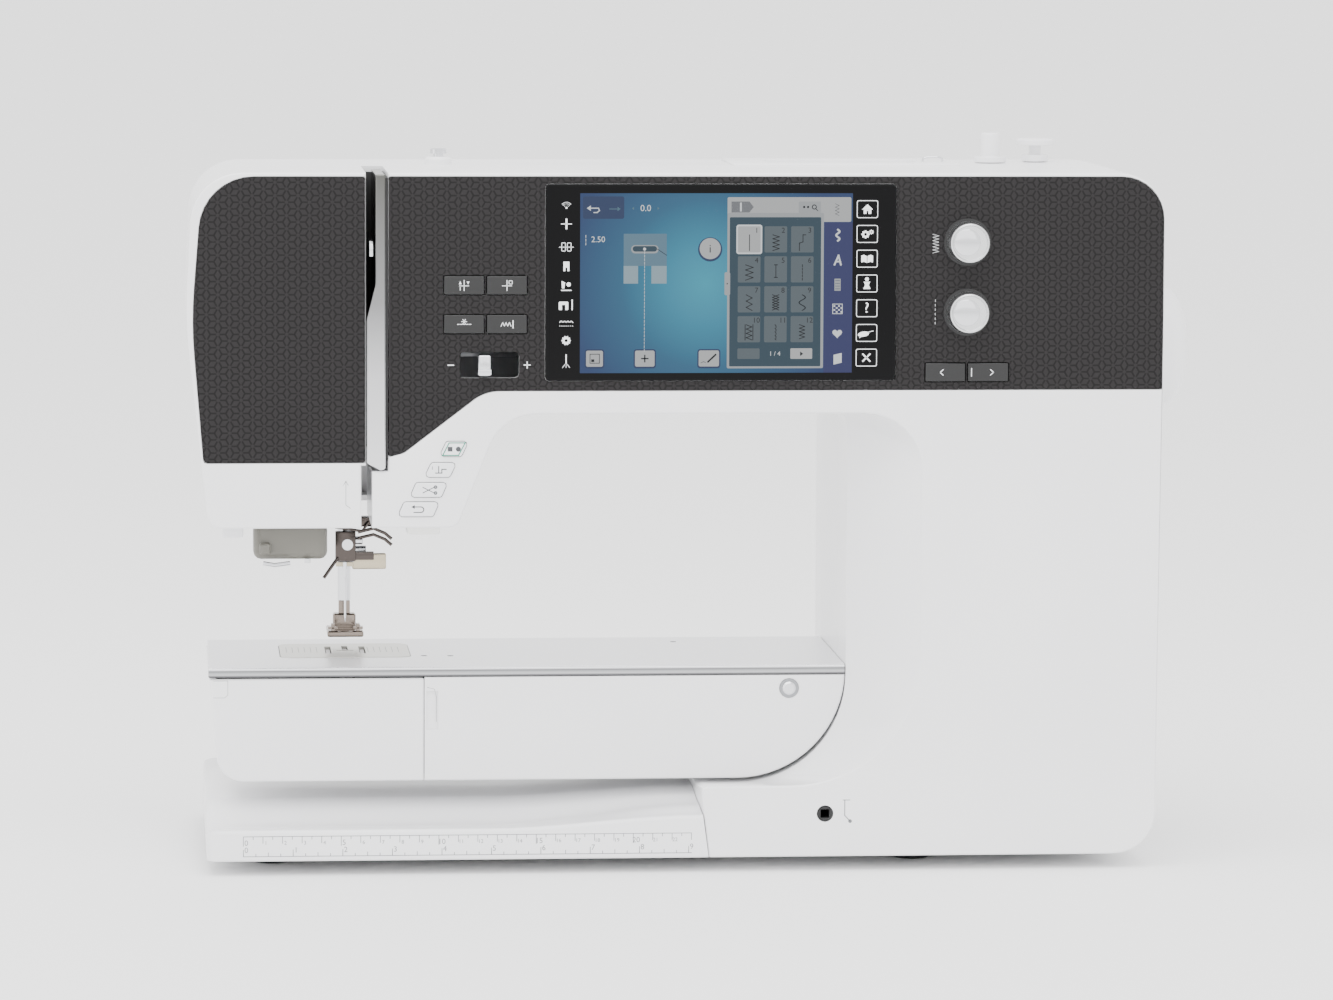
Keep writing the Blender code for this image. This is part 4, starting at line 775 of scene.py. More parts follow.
# %% Category column
plate("indigo", path([(124.8, 14.8), (139.4, 14.8), (139.4, 91.7), (124.8, 91.7)]), 3)
stroke("white", path(wave(131.8, 18.6, 0.8, 5.6, 1.5)), 0.9, 4)
stroke("white", path([(130.2, 36.4), (132.2, 31.8), (133.4, 36.4)]), 0.9, 4)
stroke("white", path([(130.8, 34.9), (133.2, 34.9)]), 0.7, 4)
tag("silver", 130.2, 43.6, 3.2, 6.2, 0.2, 4)
for k in range(4):
    stroke("indigo", path([(130.7, 44.6 + 1.4 * k), (132.9, 44.6 + 1.4 * k)]), 0.25, 5)
frame_box("white", *at(129.4, 56.6), 4.9, 4.9, 0.35, 4)
for k in range(8):
    plate("white", path([(129.8 + 1.2 * (k % 4), 57.2 + 2.0 * (k // 4) + 1.0 * (k % 2)),
        (130.7 + 1.2 * (k % 4), 57.2 + 2.0 * (k // 4) + 1.0 * (k % 2)),
                         (130.7 + 1.2 * (k % 4), 58.0 + 2.0 * (k // 4) + 1.0 * (k % 2)),
                         (129.8 + 1.2 * (k % 4), 58.0 + 2.0 * (k // 4) + 1.0 * (k % 2))]), 4)
heart = []
for k in range(28):
    t = math.tau * k / 28
    heart.append((131.8 + 0.155 * 16 * math.sin(t) ** 3,
                  71.6 - 0.155 * (13 * math.cos(t) - 5 * math.cos(2 * t) - 2 * math.cos(3 * t)
                  - math.cos(4 * t))))
plate("white", path(heart), 4)
plate("white", path([(130.0, 82.6), (134.2, 81.6), (134.2, 86.6), (130.0, 87.6)]), 4)
print("category signs drawn")

# %% [markdown]
# ## Printed signs on the black glass
# Nine status signs stand left of the display and seven framed menu signs right of it. They are drawn
# from strokes, discs and polygons, so each stays a simple pictogram.

# %% Menu signs
MENU_X = 146.9
MENU_STEP = 12.66
MENU_WIDTH = 10.8
MENU_HEIGHT = 9.0


def menu_place(k):
    return MENU_X, 8.1 + MENU_STEP * k


for k in range(7):
    x, y = menu_place(k)
    rounded_box("icon", *at(x - MENU_WIDTH / 2, y - MENU_HEIGHT / 2), MENU_WIDTH, MENU_HEIGHT, 0.9, 1)
    inner = 0.32
    rounded_box("black", *at(x - MENU_WIDTH / 2 + inner, y - MENU_HEIGHT / 2 + inner), MENU_WIDTH - 2 * inner,
                MENU_HEIGHT - 2 * inner, 0.7, 2)
x, y = menu_place(0)
plate("icon", path([(x - 2.8, y + 0.2), (x, y - 2.5), (x + 2.8, y + 0.2)]), 3)
plate("icon", path([(x - 1.9, y + 0.1), (x + 1.9, y + 0.1), (x + 1.9, y + 2.4), (x + 0.5, y + 2.4),
    (x + 0.5, y + 0.9),
                    (x - 0.5, y + 0.9), (x - 0.5, y + 2.4), (x - 1.9, y + 2.4)]), 3)
x, y = menu_place(1)
for cx, cy, radius in ((x - 0.9, y + 0.2, 1.7), (x + 2.1, y - 1.0, 0.95)):
    for tooth in range(8):
        angle = math.tau * tooth / 8
        disc("icon", *at(cx + radius * math.cos(angle), cy + radius * math.sin(angle)), radius * 0.26, 3, 8)
    disc("icon", *at(cx, cy), radius, 4)
    disc("black", *at(cx, cy), radius * 0.45, 5)
x, y = menu_place(2)
for side in (-1, 1):
    plate("icon", path([(x + 0.2 * side, y - 1.3), (x + 1.6 * side, y - 2.0), (x + 3.0 * side, y - 1.6),
        (x + 3.0 * side, y + 1.9),
                        (x + 1.6 * side, y + 1.5), (x + 0.2 * side, y + 2.1)]), 3)
x, y = menu_place(3)
disc("icon", *at(x, y - 2.2), 1.0, 3)
plate("icon", path([(x - 1.7, y - 0.9), (x + 1.7, y - 0.9), (x + 0.9, y + 0.7), (x + 1.9, y + 2.8),
    (x - 1.9, y + 2.8), (x - 0.9, y + 0.7)]), 3)
lettering("icon", "?", *at(*menu_place(4)), 7.6, 3)
x, y = menu_place(5)
leaf = [(x - 1.6 + 2.7 * math.cos(t) + 1.0 * math.sin(t),
    y + 0.6 + 1.1 * math.sin(t) - 0.8 * math.cos(t)) for t in
        [math.tau * k / 20 for k in range(20)]]
plate("icon", path(leaf), 3)
stroke("icon", path([(x - 3.6, y + 2.4), (x + 0.8, y - 0.4), (x + 3.4, y - 1.0)]), 0.3, 4)
x, y = menu_place(6)
stroke("icon", path([(x - 1.8, y - 1.8), (x + 1.8, y + 1.8)]), 0.7, 3)
stroke("icon", path([(x - 1.8, y + 1.8), (x + 1.8, y - 1.8)]), 0.7, 3)
print("menu signs drawn: 7")

# %% Status signs
STATUS_X = -7.0


def arc(x, y, radius, start, end, count=9):
    angles = [math.radians(start + (end - start) * k / (count - 1)) for k in range(count)]
    return [(x + radius * math.cos(t), y - radius * math.sin(t)) for t in angles]


x = STATUS_X
disc("icon", *at(x, 7.4), 0.5, 1)
for radius in (1.3, 2.2, 3.0):
    stroke("icon", path(arc(x, 7.6, radius, 45, 135)), 0.32, 1)
stroke("icon", path([(x - 2.6, 15.6), (x + 2.6, 15.6)]), 0.4, 1)
stroke("icon", path([(x, 13.4), (x, 17.8)]), 0.9, 1)
frame_box("icon", *at(x - 2.4, 25.2), 1.9, 4.2, 0.3, 1)
frame_box("icon", *at(x + 0.5, 25.2), 1.9, 4.2, 0.3, 1)
stroke("icon", path([(x - 3.6, 27.4), (x + 3.6, 27.4)]), 0.25, 1)
plate("icon", path([(x - 1.5, 34.8), (x + 1.5, 34.8), (x + 1.5, 39.6), (x + 0.5, 39.6), (x + 0.5, 37.8),
    (x - 0.5, 37.8),
                    (x - 0.5, 39.6), (x - 1.5, 39.6)]), 1)
stroke("icon", path([(x - 2.4, 49.4), (x + 2.4, 49.4)]), 0.5, 1)
disc("icon", *at(x + 1.2, 46.4), 1.1, 1)
plate("icon", path([(x - 2.4, 44.6), (x - 0.6, 45.4), (x - 1.0, 48.4), (x - 2.2, 48.4)]), 1)
tag("icon", x - 3.8, 55.2, 4.8, 4.2, 0.5, 1)
tag("black", x - 2.2, 56.8, 1.7, 2.6, 0.1, 2)
stroke("icon", path([(x + 3.0, 54.4), (x + 3.0, 59.2)]), 0.6, 1)
stroke("icon", path(zigzag(x - 3.4, 0, 0, 0,
    0) or [(x - 3.4 + 0.85 * k, 65.8 - (0.9 if k % 2 else 0)) for k in range(9)]), 0.35, 1)
for k in range(7):
    disc("icon", *at(x - 3.3 + 1.1 * k, 67.6), 0.22, 1, 8)
for tooth in range(10):
    angle = math.tau * tooth / 10
    disc("icon", *at(x + 2.0 * math.cos(angle), 75.0 + 2.0 * math.sin(angle)), 0.4, 1, 8)
disc("icon", *at(x, 75.0), 1.9, 2)
disc("black", *at(x, 75.0), 0.8, 3)
stroke("icon", path([(x, 82.4), (x, 86.6)]), 0.6, 1)
for side in (-1, 0, 1):
    stroke("icon", path([(x + 0.6 * side, 87.2), (x + 1.8 * side, 88.8)]), 0.22, 1)
finish_artwork("screen", "housing")
print("status signs drawn: 9")

# %% [markdown]
# ## Signs on the keys and the fascia
# The white keys carry dark signs and ride with their keys. The black buttons carry small white signs.
# Beside the knobs a zigzag and a dashed line say what each knob sets.

# %% Key signs
KEY_FACE = FRONT - 1.2
BUTTON_FACE = FRONT - 0.8


def key_centre(node):
    low, high = box_mm(node)
    return (low.x + high.x) / 2, (low.z + high.z) / 2


def key_marks(node):
    x, z = key_centre(node)
    return x, z, {"group": node, "plane": KEY_FACE}


x, z, where = key_marks("start_stop_key")
plate("dark_print", [(x - 3.2, z - 1.2), (x - 0.8, z - 1.2), (x - 0.8, z + 1.2), (x - 3.2, z + 1.2)], **where)
disc("dark_print", x + 2.2, z, 1.3, **where)
x, z, where = key_marks("presser_foot_key")
stroke("dark_print", [(x - 2.6, z - 1.5), (x + 0.6, z - 1.5), (x + 0.6, z + 0.4), (x + 2.8, z + 0.4)], 0.5,
    **where)
stroke("dark_print", [(x - 1.0, z - 1.4), (x - 1.0, z + 1.9)], 0.5, **where)
stroke("dark_print", [(x - 4.2, z + 0.4), (x - 4.2, z + 1.8)], 0.3, **where)
x, z, where = key_marks("thread_cutter_key")
stroke("dark_print", [(x - 3.0, z - 1.4), (x + 2.6, z + 1.4)], 0.42, **where)
stroke("dark_print", [(x - 3.0, z + 1.4), (x + 2.6, z - 1.4)], 0.42, **where)
for side in (-1, 1):
    disc("dark_print", x + 3.4, z + 1.5 * side, 0.95, count=16, **where)
    disc("white", x + 3.4, z + 1.5 * side, 0.5, 2, 16, **where)
x, z, where = key_marks("reverse_key")
turn_path = [(x - 2.4, z + 1.3)] + [(x + 1.2 + 1.4 * math.cos(math.radians(a)),
    z - 0.1 + 1.4 * math.sin(math.radians(a))) for a in range(90, -91, -30)] + [(x - 2.4, z - 1.5)]
stroke("dark_print", turn_path, 0.5, **where)
plate("dark_print", [(x - 3.8, z + 1.3), (x - 2.0, z + 2.3), (x - 2.0, z + 0.3)], **where)
for node in ("start_stop_key", "presser_foot_key", "thread_cutter_key", "reverse_key"):
    finish_artwork(node, body_of(node))
print("key signs drawn: 4")

# %% Button signs
ON_BUTTON = {"needle_up_down_button": "updown", "needle_stop_button": "stop", "securing_button": "tie",
             "pattern_end_button": "end", "needle_left_button": "left", "needle_right_button": "right"}
for node, sign in ON_BUTTON.items():
    x, z = key_centre(node)
    where = {"group": node, "plane": BUTTON_FACE}
    if sign in ("updown", "stop"):
        stroke("icon", [(x, z - 2.6), (x, z + 2.6)], 0.34, **where)
        stroke("icon", [(x - 2.4, z - 0.2), (x + 2.4, z - 0.2)], 0.3, **where)
        if sign == "updown":
            stroke("icon", [(x - 2.0, z - 2.4), (x - 2.0, z - 0.9)], 0.3, **where)
            plate("icon", [(x - 2.7, z + 0.6), (x - 1.3, z + 0.6), (x - 2.0, z + 2.2)], **where)
            plate("icon", [(x + 1.3, z + 2.0), (x + 2.7, z + 2.0), (x + 2.0, z + 0.5)], **where)
        else:
            frame_box("icon", x + 1.0, z + 2.4, 1.7, 1.7, 0.3, **where)
    elif sign == "tie":
        for k in range(5):
            stroke("icon", [(x - 3.4 + 1.5 * k, z), (x - 2.5 + 1.5 * k, z)], 0.34, **where)
        for tilt in (0, 60, 120):
            dx, dz = math.cos(math.radians(tilt)) * 1.3, math.sin(math.radians(tilt)) * 1.3
            stroke("icon", [(x - dx, z + 1.4 - dz), (x + dx, z + 1.4 + dz)], 0.3, **where)
    elif sign == "end":
        stroke("icon", [(x - 3.0 + 0.85 * k, z + (1.0 if k % 2 else -1.0)) for k in range(7)], 0.32, **where)
        stroke("icon", [(x + 3.1, z - 1.8), (x + 3.1, z + 1.8)], 0.5, **where)
    else:
        side = -1 if sign == "left" else 1
        stroke("icon", [(x + 1.2 * side, z - 1.4), (x + 2.8 * side, z), (x + 1.2 * side, z + 1.4)], 0.4,
            **where)
        if sign == "right":
            stroke("icon", [(x - 8.6, z - 2.0), (x - 8.6, z + 2.0)], 0.4, **where)
    finish_artwork(node, body_of(node))
print("button signs drawn:", len(ON_BUTTON))

# %% Fascia signs
on_panel = {"group": "panel", "plane": FRONT}
SLIDE_Z = (box_mm("speed_slider")[0].z + box_mm("speed_slider")[1].z) / 2
SLIDE_X = (box_mm("speed_slider")[0].x + box_mm("speed_slider")[1].x) / 2
stroke("icon", [(SLIDE_X - 18.4, SLIDE_Z), (SLIDE_X - 15.6, SLIDE_Z)], 0.5, **on_panel)
stroke("icon", [(SLIDE_X + 20.4, SLIDE_Z), (SLIDE_X + 23.4, SLIDE_Z)], 0.5, **on_panel)
stroke("icon", [(SLIDE_X + 21.9, SLIDE_Z - 1.5), (SLIDE_X + 21.9, SLIDE_Z + 1.5)], 0.5, **on_panel)
width_x, width_z = key_centre("stitch_width_knob")
length_x, length_z = key_centre("stitch_length_knob")
for k in range(6):
    z = width_z + 4.0 - 1.6 * k
    stroke("icon", [(width_x - 18.0, z), (width_x - 14.8, z - 0.8)], 0.13, **on_panel)
    stroke("icon", [(width_x - 14.8, z - 0.8), (width_x - 18.0, z - 1.6)], 0.13, **on_panel)
for k in range(6):
    z = length_z + 6.4 - 2.3 * k
    stroke("icon", [(length_x - 16.4, z), (length_x - 16.4, z - 1.0)], 0.16, **on_panel)
finish_artwork("panel", "housing")
KNEE_LOW, KNEE_HIGH = box_mm("knee_socket")
KNEE_X = (KNEE_LOW.x + KNEE_HIGH.x) / 2
KNEE_Z = (KNEE_LOW.z + KNEE_HIGH.z) / 2
on_body = {"group": "body_print", "plane": FRONT}
stroke("grey_print", [(KNEE_X + 9.4, KNEE_Z + 7.0), (KNEE_X + 12.8, KNEE_Z + 7.0)], 0.4, **on_body)
stroke("grey_print", [(KNEE_X + 10.2, KNEE_Z + 7.0), (KNEE_X + 10.2, KNEE_Z - 1.0),
    (KNEE_X + 12.6, KNEE_Z - 3.6)], 0.5, **on_body)
disc("grey_print", KNEE_X + 13.0, KNEE_Z - 4.0, 1.0, count=14, **on_body)
finish_artwork("body_print", "housing")
print("fascia signs drawn")

# %% [markdown]
# ## The rule on the base
# A centimetre and inch rule runs along the base's front wall. Its ticks are one Geometry Nodes
# group: a line of points, one small box on each, and a longer box on every fifth. The same group
# makes both scales from different steps and counts.

# %% Tick group
def tick_group():
    tree = bpy.data.node_groups.new("rule ticks", "GeometryNodeTree")
    made = tree.interface
    made.new_socket("Geometry", in_out="OUTPUT", socket_type="NodeSocketGeometry")
    for name, kind in (("Step", "NodeSocketFloat"), ("Count", "NodeSocketInt"), ("Short", "NodeSocketFloat"),
                       ("Extra", "NodeSocketFloat"), ("Each", "NodeSocketInt"), ("Line", "NodeSocketFloat"),
                       ("Thick", "NodeSocketFloat"), ("Down", "NodeSocketFloat"),
                       ("Ink", "NodeSocketMaterial")):
        made.new_socket(name, in_out="INPUT", socket_type=kind)
    given = tree.nodes.new("NodeGroupInput")
    out = tree.nodes.new("NodeGroupOutput")
    link = tree.links.new

    def maths_node(operation, a, b):
        node = tree.nodes.new("ShaderNodeMath")
        node.operation = operation
        for socket, value in zip(node.inputs, (a, b)):
            if isinstance(value, (int, float)):
                socket.default_value = value
            else:
                link(value, socket)
        return node.outputs[0]

    line = tree.nodes.new("GeometryNodeMeshLine")
    link(given.outputs["Count"], line.inputs["Count"])
    offset = tree.nodes.new("ShaderNodeCombineXYZ")
    link(given.outputs["Step"], offset.inputs["X"])
    link(offset.outputs[0], line.inputs["Offset"])
    box = tree.nodes.new("GeometryNodeMeshCube")
    index = tree.nodes.new("GeometryNodeInputIndex")
    rest = maths_node("MODULO", index.outputs[0], given.outputs["Each"])
    major = maths_node("LESS_THAN", rest, 0.5)
    height = maths_node("ADD", given.outputs["Short"], maths_node("MULTIPLY", major, given.outputs["Extra"]))
    scale = tree.nodes.new("ShaderNodeCombineXYZ")
    link(given.outputs["Line"], scale.inputs["X"])
    link(given.outputs["Thick"], scale.inputs["Y"])
    link(height, scale.inputs["Z"])
    lift = tree.nodes.new("ShaderNodeCombineXYZ")
    link(maths_node("MULTIPLY", maths_node("MULTIPLY", height, 0.5), given.outputs["Down"]), lift.inputs["Z"])
    moved = tree.nodes.new("GeometryNodeSetPosition")
    link(line.outputs[0], moved.inputs["Geometry"])
    link(lift.outputs[0], moved.inputs["Offset"])
    spread = tree.nodes.new("GeometryNodeInstanceOnPoints")
    link(moved.outputs[0], spread.inputs["Points"])
    link(box.outputs[0], spread.inputs["Instance"])
    link(scale.outputs[0], spread.inputs["Scale"])
    real = tree.nodes.new("GeometryNodeRealizeInstances")
    link(spread.outputs[0], real.inputs[0])
    ink = tree.nodes.new("GeometryNodeSetMaterial")
    link(real.outputs[0], ink.inputs["Geometry"])
    link(given.outputs["Ink"], ink.inputs["Material"])
    link(ink.outputs[0], out.inputs[0])
    return tree


def from_group(name, tree, place, body, **values):
    """Runs a node group on an empty mesh, keeps the result as a plain mesh and rides it."""
    holder = bpy.data.objects.new(name, bpy.data.meshes.new(name))
    bpy.context.scene.collection.objects.link(holder)
    modifier = holder.modifiers.new(name, "NODES")
    modifier.node_group = tree
    for item in tree.interface.items_tree:
        if item.in_out == "INPUT" and item.name in values:
            modifier[item.identifier] = values[item.name]
    graph = bpy.context.evaluated_depsgraph_get()
    mesh = bpy.data.meshes.new_from_object(holder.evaluated_get(graph))
    holder.modifiers.clear()
    mesh.transform(Matrix.Translation(Vector(place) * MM))
    holder.data = mesh
    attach(holder, body)
    return holder


# %% Rule
RULE_LEFT = -237.35
RULE_CM = 23
CENTIMETRE = 10.0
INCH = 25.4
RULE_TOP = 20.6
RULE_LOW = 10.3
RULE_FACE = FRONT - 0.02
TICKS = tick_group()
ruler_ink = INK["grey_print"]
common = {"Line": 0.34 * MM, "Thick": 0.02 * MM, "Ink": ruler_ink}
from_group("rule_centimetres", TICKS, (RULE_LEFT, RULE_FACE, RULE_TOP), "housing", Step=CENTIMETRE * MM,
    Count=RULE_CM + 1,
           Short=3.6 * MM, Extra=1.4 * MM, Each=5, Down=-1.0, **common)
from_group("rule_half_centimetres", TICKS, (RULE_LEFT + 5.0, RULE_FACE, RULE_TOP), "housing",
    Step=CENTIMETRE * MM, Count=RULE_CM,
           Short=1.6 * MM, Extra=0.0, Each=5, Down=-1.0, **common)
from_group("rule_inches", TICKS, (RULE_LEFT, RULE_FACE, RULE_LOW), "housing", Step=INCH * MM, Count=10,
    Short=3.6 * MM,
           Extra=0.0, Each=5, Down=1.0, **common)
from_group("rule_quarter_inches", TICKS, (RULE_LEFT, RULE_FACE, RULE_LOW), "housing", Step=INCH / 4 * MM,
    Count=37, Short=1.5 * MM,
           Extra=0.6 * MM, Each=2, Down=1.0, **common)
on_rule = {"group": "rule", "plane": FRONT}
stroke("grey_print", [(RULE_LEFT, RULE_TOP), (RULE_LEFT + RULE_CM * CENTIMETRE, RULE_TOP)], 0.34, **on_rule)
stroke("grey_print", [(RULE_LEFT, RULE_LOW), (RULE_LEFT + RULE_CM * CENTIMETRE, RULE_LOW)], 0.34, **on_rule)
for number in range(RULE_CM + 1):
    if number % 5 == 0 or number < RULE_CM:
        lettering("grey_print", str(number), RULE_LEFT + CENTIMETRE * number + 1.5, RULE_TOP - 3.4,
            4.0 if number % 5 == 0 else 2.8, 1, **on_rule)
for number in range(10):
    lettering("grey_print", str(number), RULE_LEFT + INCH * number + 1.5, RULE_LOW + 3.2, 4.0, 1, **on_rule)
finish_artwork("rule", "housing")
print("rule drawn:", RULE_CM, "cm")

# %% [markdown]
# ## Small trim
# These small parts aren't in the CAD model, because it is at its limit of nodes, or they are finer
# than it needs. Each is turned, run along a bent path, or a bevelled block.

# %% Trim tools
def turned_piece(name, profile, place, axis, material, body, count=28):
    """A solid of revolution; profile is (distance along the axis, radius) in millimetres."""
    bm = bmesh.new()
    rings = []
    for reach, radius in profile:
        ring = []
        for k in range(count):
            angle = math.tau * k / count
            a, b = radius * math.cos(angle), radius * math.sin(angle)
            point = {"X": (reach, a, b), "Y": (a, reach, b), "Z": (a, b, reach)}[axis]
            ring.append(bm.verts.new((Vector(point) + Vector(place)) * MM))
        rings.append(ring)
    for near, far in zip(rings, rings[1:]):
        for i in range(count):
            j = (i + 1) % count
            bm.faces.new((near[i], near[j], far[j], far[i]))
    bm.faces.new(rings[0])
    bm.faces.new(rings[-1])
    bmesh.ops.recalc_face_normals(bm, faces=bm.faces)
    return mesh_piece(name, bm, material, body)


def tube(bm, points, radius, count=10):
    """A closed round bar through points in millimetres, added to bm."""
    centres = [Vector(p) for p in points]
    rings = []
    for i, here in enumerate(centres):
        before, after = centres[max(i - 1, 0)], centres[min(i + 1, len(centres) - 1)]
        along = (after - before).normalized()
        side = along.cross(Vector((0, 1, 0.2))).normalized()
        up = side.cross(along)
        rings.append([bm.verts.new((here
            + (side * math.cos(math.tau * k / count) + up * math.sin(math.tau * k / count)) * radius) * MM)
                      for k in range(count)])
    faces = [bm.faces.new((near[i], near[(i + 1) % count], far[(i + 1) % count], far[i]))
             for near, far in zip(rings, rings[1:]) for i in range(count)]
    faces += [bm.faces.new(rings[0]), bm.faces.new(rings[-1])]
    bmesh.ops.recalc_face_normals(bm, faces=faces)


def bevelled_box(bm, low, high, edge=0.4):
    """A closed block between two corners in millimetres, with its edges bevelled, added to bm."""
    made = bmesh.ops.create_cube(bm, size=1.0)
    for vertex in made["verts"]:
        vertex.co = Vector([(l + h) / 2 + v * (h - l) for v, l, h in zip(vertex.co, low, high)]) * MM
    edges = list({e for v in made["verts"] for e in v.link_edges})
    bmesh.ops.bevel(bm, geom=edges, offset=edge * MM, segments=2, affect="EDGES", profile=0.6)


# %% Needle clamp, foot and guides
FOOT_LOW, FOOT_HIGH = box_mm("presser_foot")
NEEDLE_LOW, NEEDLE_HIGH = box_mm("needle_bar")
NX = (FOOT_LOW.x + FOOT_HIGH.x) / 2
CLAMP_Z = NEEDLE_LOW.z + 32.0
bm = bmesh.new()
bevelled_box(bm, (NX - 5.4, -0.2, CLAMP_Z + 1.0), (NX + 5.4, 4.2, CLAMP_Z + 17.0), 0.7)
bevelled_box(bm, (NX + 4.0, 1.0, CLAMP_Z + 1.6), (NX + 15.0, 5.0, CLAMP_Z + 6.0), 0.6)
tube(bm, [(NX - 4.0, 0.0, CLAMP_Z + 3.0), (NX - 7.0, -1.0, CLAMP_Z - 1.0),
    (NX - 11.5, -1.4, CLAMP_Z - 7.5)], 0.9)
mesh_piece("clamp_block", bm, DARK_STEEL, "needle_drive")
turned_piece("clamp_face_screw", [(0.0, 2.9), (0.6, 2.9), (1.4, 2.2), (1.6, 0.4)][::-1],
    (NX + 1.0, -1.8, CLAMP_Z + 10.0), "Y", CHROME, "needle_drive", 20)
turned_piece("clamp_side_screw", [(0.0, 2.2), (3.4, 2.2), (3.8, 1.8)], (NX + 5.4, 2.0, CLAMP_Z + 12.0), "X",
    CHROME, "needle_drive", 20)
bm = bmesh.new()
for side in (-1, 1):
    bevelled_box(bm, (NX + side * 6.6 - 1.0, FOOT_LOW.y + 0.4, FOOT_LOW.z + 3.0),
        (NX + side * 6.6 + 1.0, FOOT_LOW.y + 6.0, FOOT_LOW.z + 7.0), 0.4)
    bevelled_box(bm, (NX + side * 6.6 - 2.6, FOOT_LOW.y + 0.4, FOOT_LOW.z + 4.2),
        (NX + side * 6.6 + 2.6, FOOT_LOW.y + 6.0, FOOT_LOW.z + 5.4), 0.3)
mesh_piece("foot_lugs", bm, FOOT_STEEL, "presser")
turned_piece("foot_knob", [(0.0, 2.4), (4.6, 2.4)], (NX - 2.3, FOOT_HIGH.y - 4.0, FOOT_HIGH.z + 4.0), "X",
    DARK_STEEL, "presser", 18)
bm = bmesh.new()
for k, lift in enumerate((0.0, 3.2)):
    tube(bm, [(NX + 6.0, -18.0, 168.5 - lift), (NX + 14.0, -19.0, 170.5 - lift),
        (NX + 20.0, -19.5, 168.0 - lift), (NX + 23.5, -20.0, 165.0 - lift)], 0.9)
tube(bm, [(NX - 6.0, -17.0, 171.0), (NX + 8.0, -18.0, 169.0), (NX + 12.0, -18.0, 174.0)], 0.8)
bevelled_box(bm, (NX - 6.0, -16.0, 171.0), (NX + 16.0, -6.0, 176.0), 0.8)
mesh_piece("head_guides", bm, DARK_STEEL, "housing")
print("needle trim made")

# %% Head underside, lamp and threader tray
bm = bmesh.new()
bevelled_box(bm, (-152.6, -69.6, 172.5), (-135.4, -46.4, 178.4), 1.6)
mesh_piece("work_light", bm, LIGHT_LENS, "housing")
bm = bmesh.new()
bevelled_box(bm, (-247.0, -66.0, 171.0), (-236.5, -50.0, 178.6), 1.0)
mesh_piece("thread_cutter", bm, WHITE_KEY, "housing")
bm = bmesh.new()
tube(bm, [(-226.0, -46.5, 155.6), (-220.0, -46.5, 154.6), (-212.0, -46.0, 155.6)], 1.1)
tube(bm, [(-203.0, -44.0, 157.6), (-203.0, -44.0, 155.4)], 1.6)
mesh_piece("threader_arm", bm, CHROME, "threader")

# %% Top studs and wire
TENSION_X = -133.3
turned_piece("tension_puck", [(358.5, 7.0), (362.6, 7.0), (364.0, 6.0)], (TENSION_X, 0.0, 0.0), "Z",
    WHITE_ABS,
    "housing")
turned_piece("tension_stud", [(363.8, 2.6), (365.4, 2.6), (365.6, 4.3), (367.8, 4.3), (368.4, 3.4)],
    (TENSION_X, 0.0, 0.0), "Z", CHROME, "housing")
bm = bmesh.new()
tube(bm, [(122.8, 9.0, 359.6), (123.4, 9.0, 362.6), (125.4, 9.0, 363.4), (131.6, 9.0, 363.4),
    (133.4, 9.0, 362.6), (134.0, 9.0, 359.6)], 0.55)
mesh_piece("thread_wire", bm, CHROME, "housing")

# %% Hoop stud, knobs and slider
HOOP_X = 46.7
HOOP_Z = 90.3
ARM_FACE = box_mm("freearm_cover")[0].y
turned_piece("hoop_stud", [(ARM_FACE - 1.2, 2.6), (ARM_FACE - 0.6, 3.4), (ARM_FACE + 2.0, 3.4),
    (ARM_FACE + 2.2, 1.6), (ARM_FACE + 6.0, 1.6)],
             (HOOP_X, 0.0, HOOP_Z), "Y", CHROME, "housing", 32)
turned_piece("hoop_collar", [(ARM_FACE - 0.3, 4.0), (ARM_FACE - 0.3, 5.0), (ARM_FACE + 3.0, 5.0),
    (ARM_FACE + 3.0, 4.0)], (HOOP_X, 0.0, HOOP_Z), "Y",
             CAST_ALUMINIUM, "housing", 32)
for node, body in (("stitch_width_knob", "width_knob"), ("stitch_length_knob", "length_knob")):
    low, high = box_mm(node)
    x, z = (low.x + high.x) / 2, (low.z + high.z) / 2
    radius = (high.x - low.x) / 2
    face = low.y
    side = [(face + 1.4, radius - 2.2), (face + 0.6, radius - 1.6), (face + 0.9, radius - 0.9),
        (face + 2.0, radius - 0.4),
            (face + 8.0, radius), (FRONT - 0.5, radius), (FRONT - 0.5, 3.0), (FRONT + 8.0, 3.0)]
    knob = turned_piece(f"{node}_rim", side, (x, 0.0, z), "Y", SATIN_KNOB, body, 64)
    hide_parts(node)
    dome = [(face + 0.5 + 0.9 * (1 - math.cos(math.radians(a))),
        (radius - 4.0) * math.sin(math.radians(a)) + 0.05) for a in range(0, 91, 10)]
    turned_piece(f"{node}_dome", dome + [(face + 1.6, radius - 4.0)], (x - 1.5, 0.0, z + 0.3), "Y", CHROME,
        body, 64)
    turned_piece(f"{node}_collar", [(FRONT - 0.45, radius + 0.4), (FRONT - 0.4, radius + 1.3),
        (FRONT + 0.02, radius + 1.3)], (x, 0.0, z), "Y",
                 PIANO_BLACK, "housing", 64)
SLIDE_LOW, SLIDE_HIGH = box_mm("speed_slider")
bm = bmesh.new()
bevelled_box(bm, (SLIDE_X - 0.9, FRONT - 5.6, SLIDE_LOW.z + 0.6),
    (SLIDE_X + 0.9, FRONT - 4.8, SLIDE_HIGH.z - 0.6), 0.3)
bevelled_box(bm, (SLIDE_X - 3.4, FRONT - 5.8, SLIDE_LOW.z + 0.8),
    (SLIDE_X + 3.4, FRONT - 4.9, SLIDE_LOW.z + 3.6), 0.4)
mesh_piece("slider_grip", bm, CHROME, "slider")
print("studs, knobs and slider made")

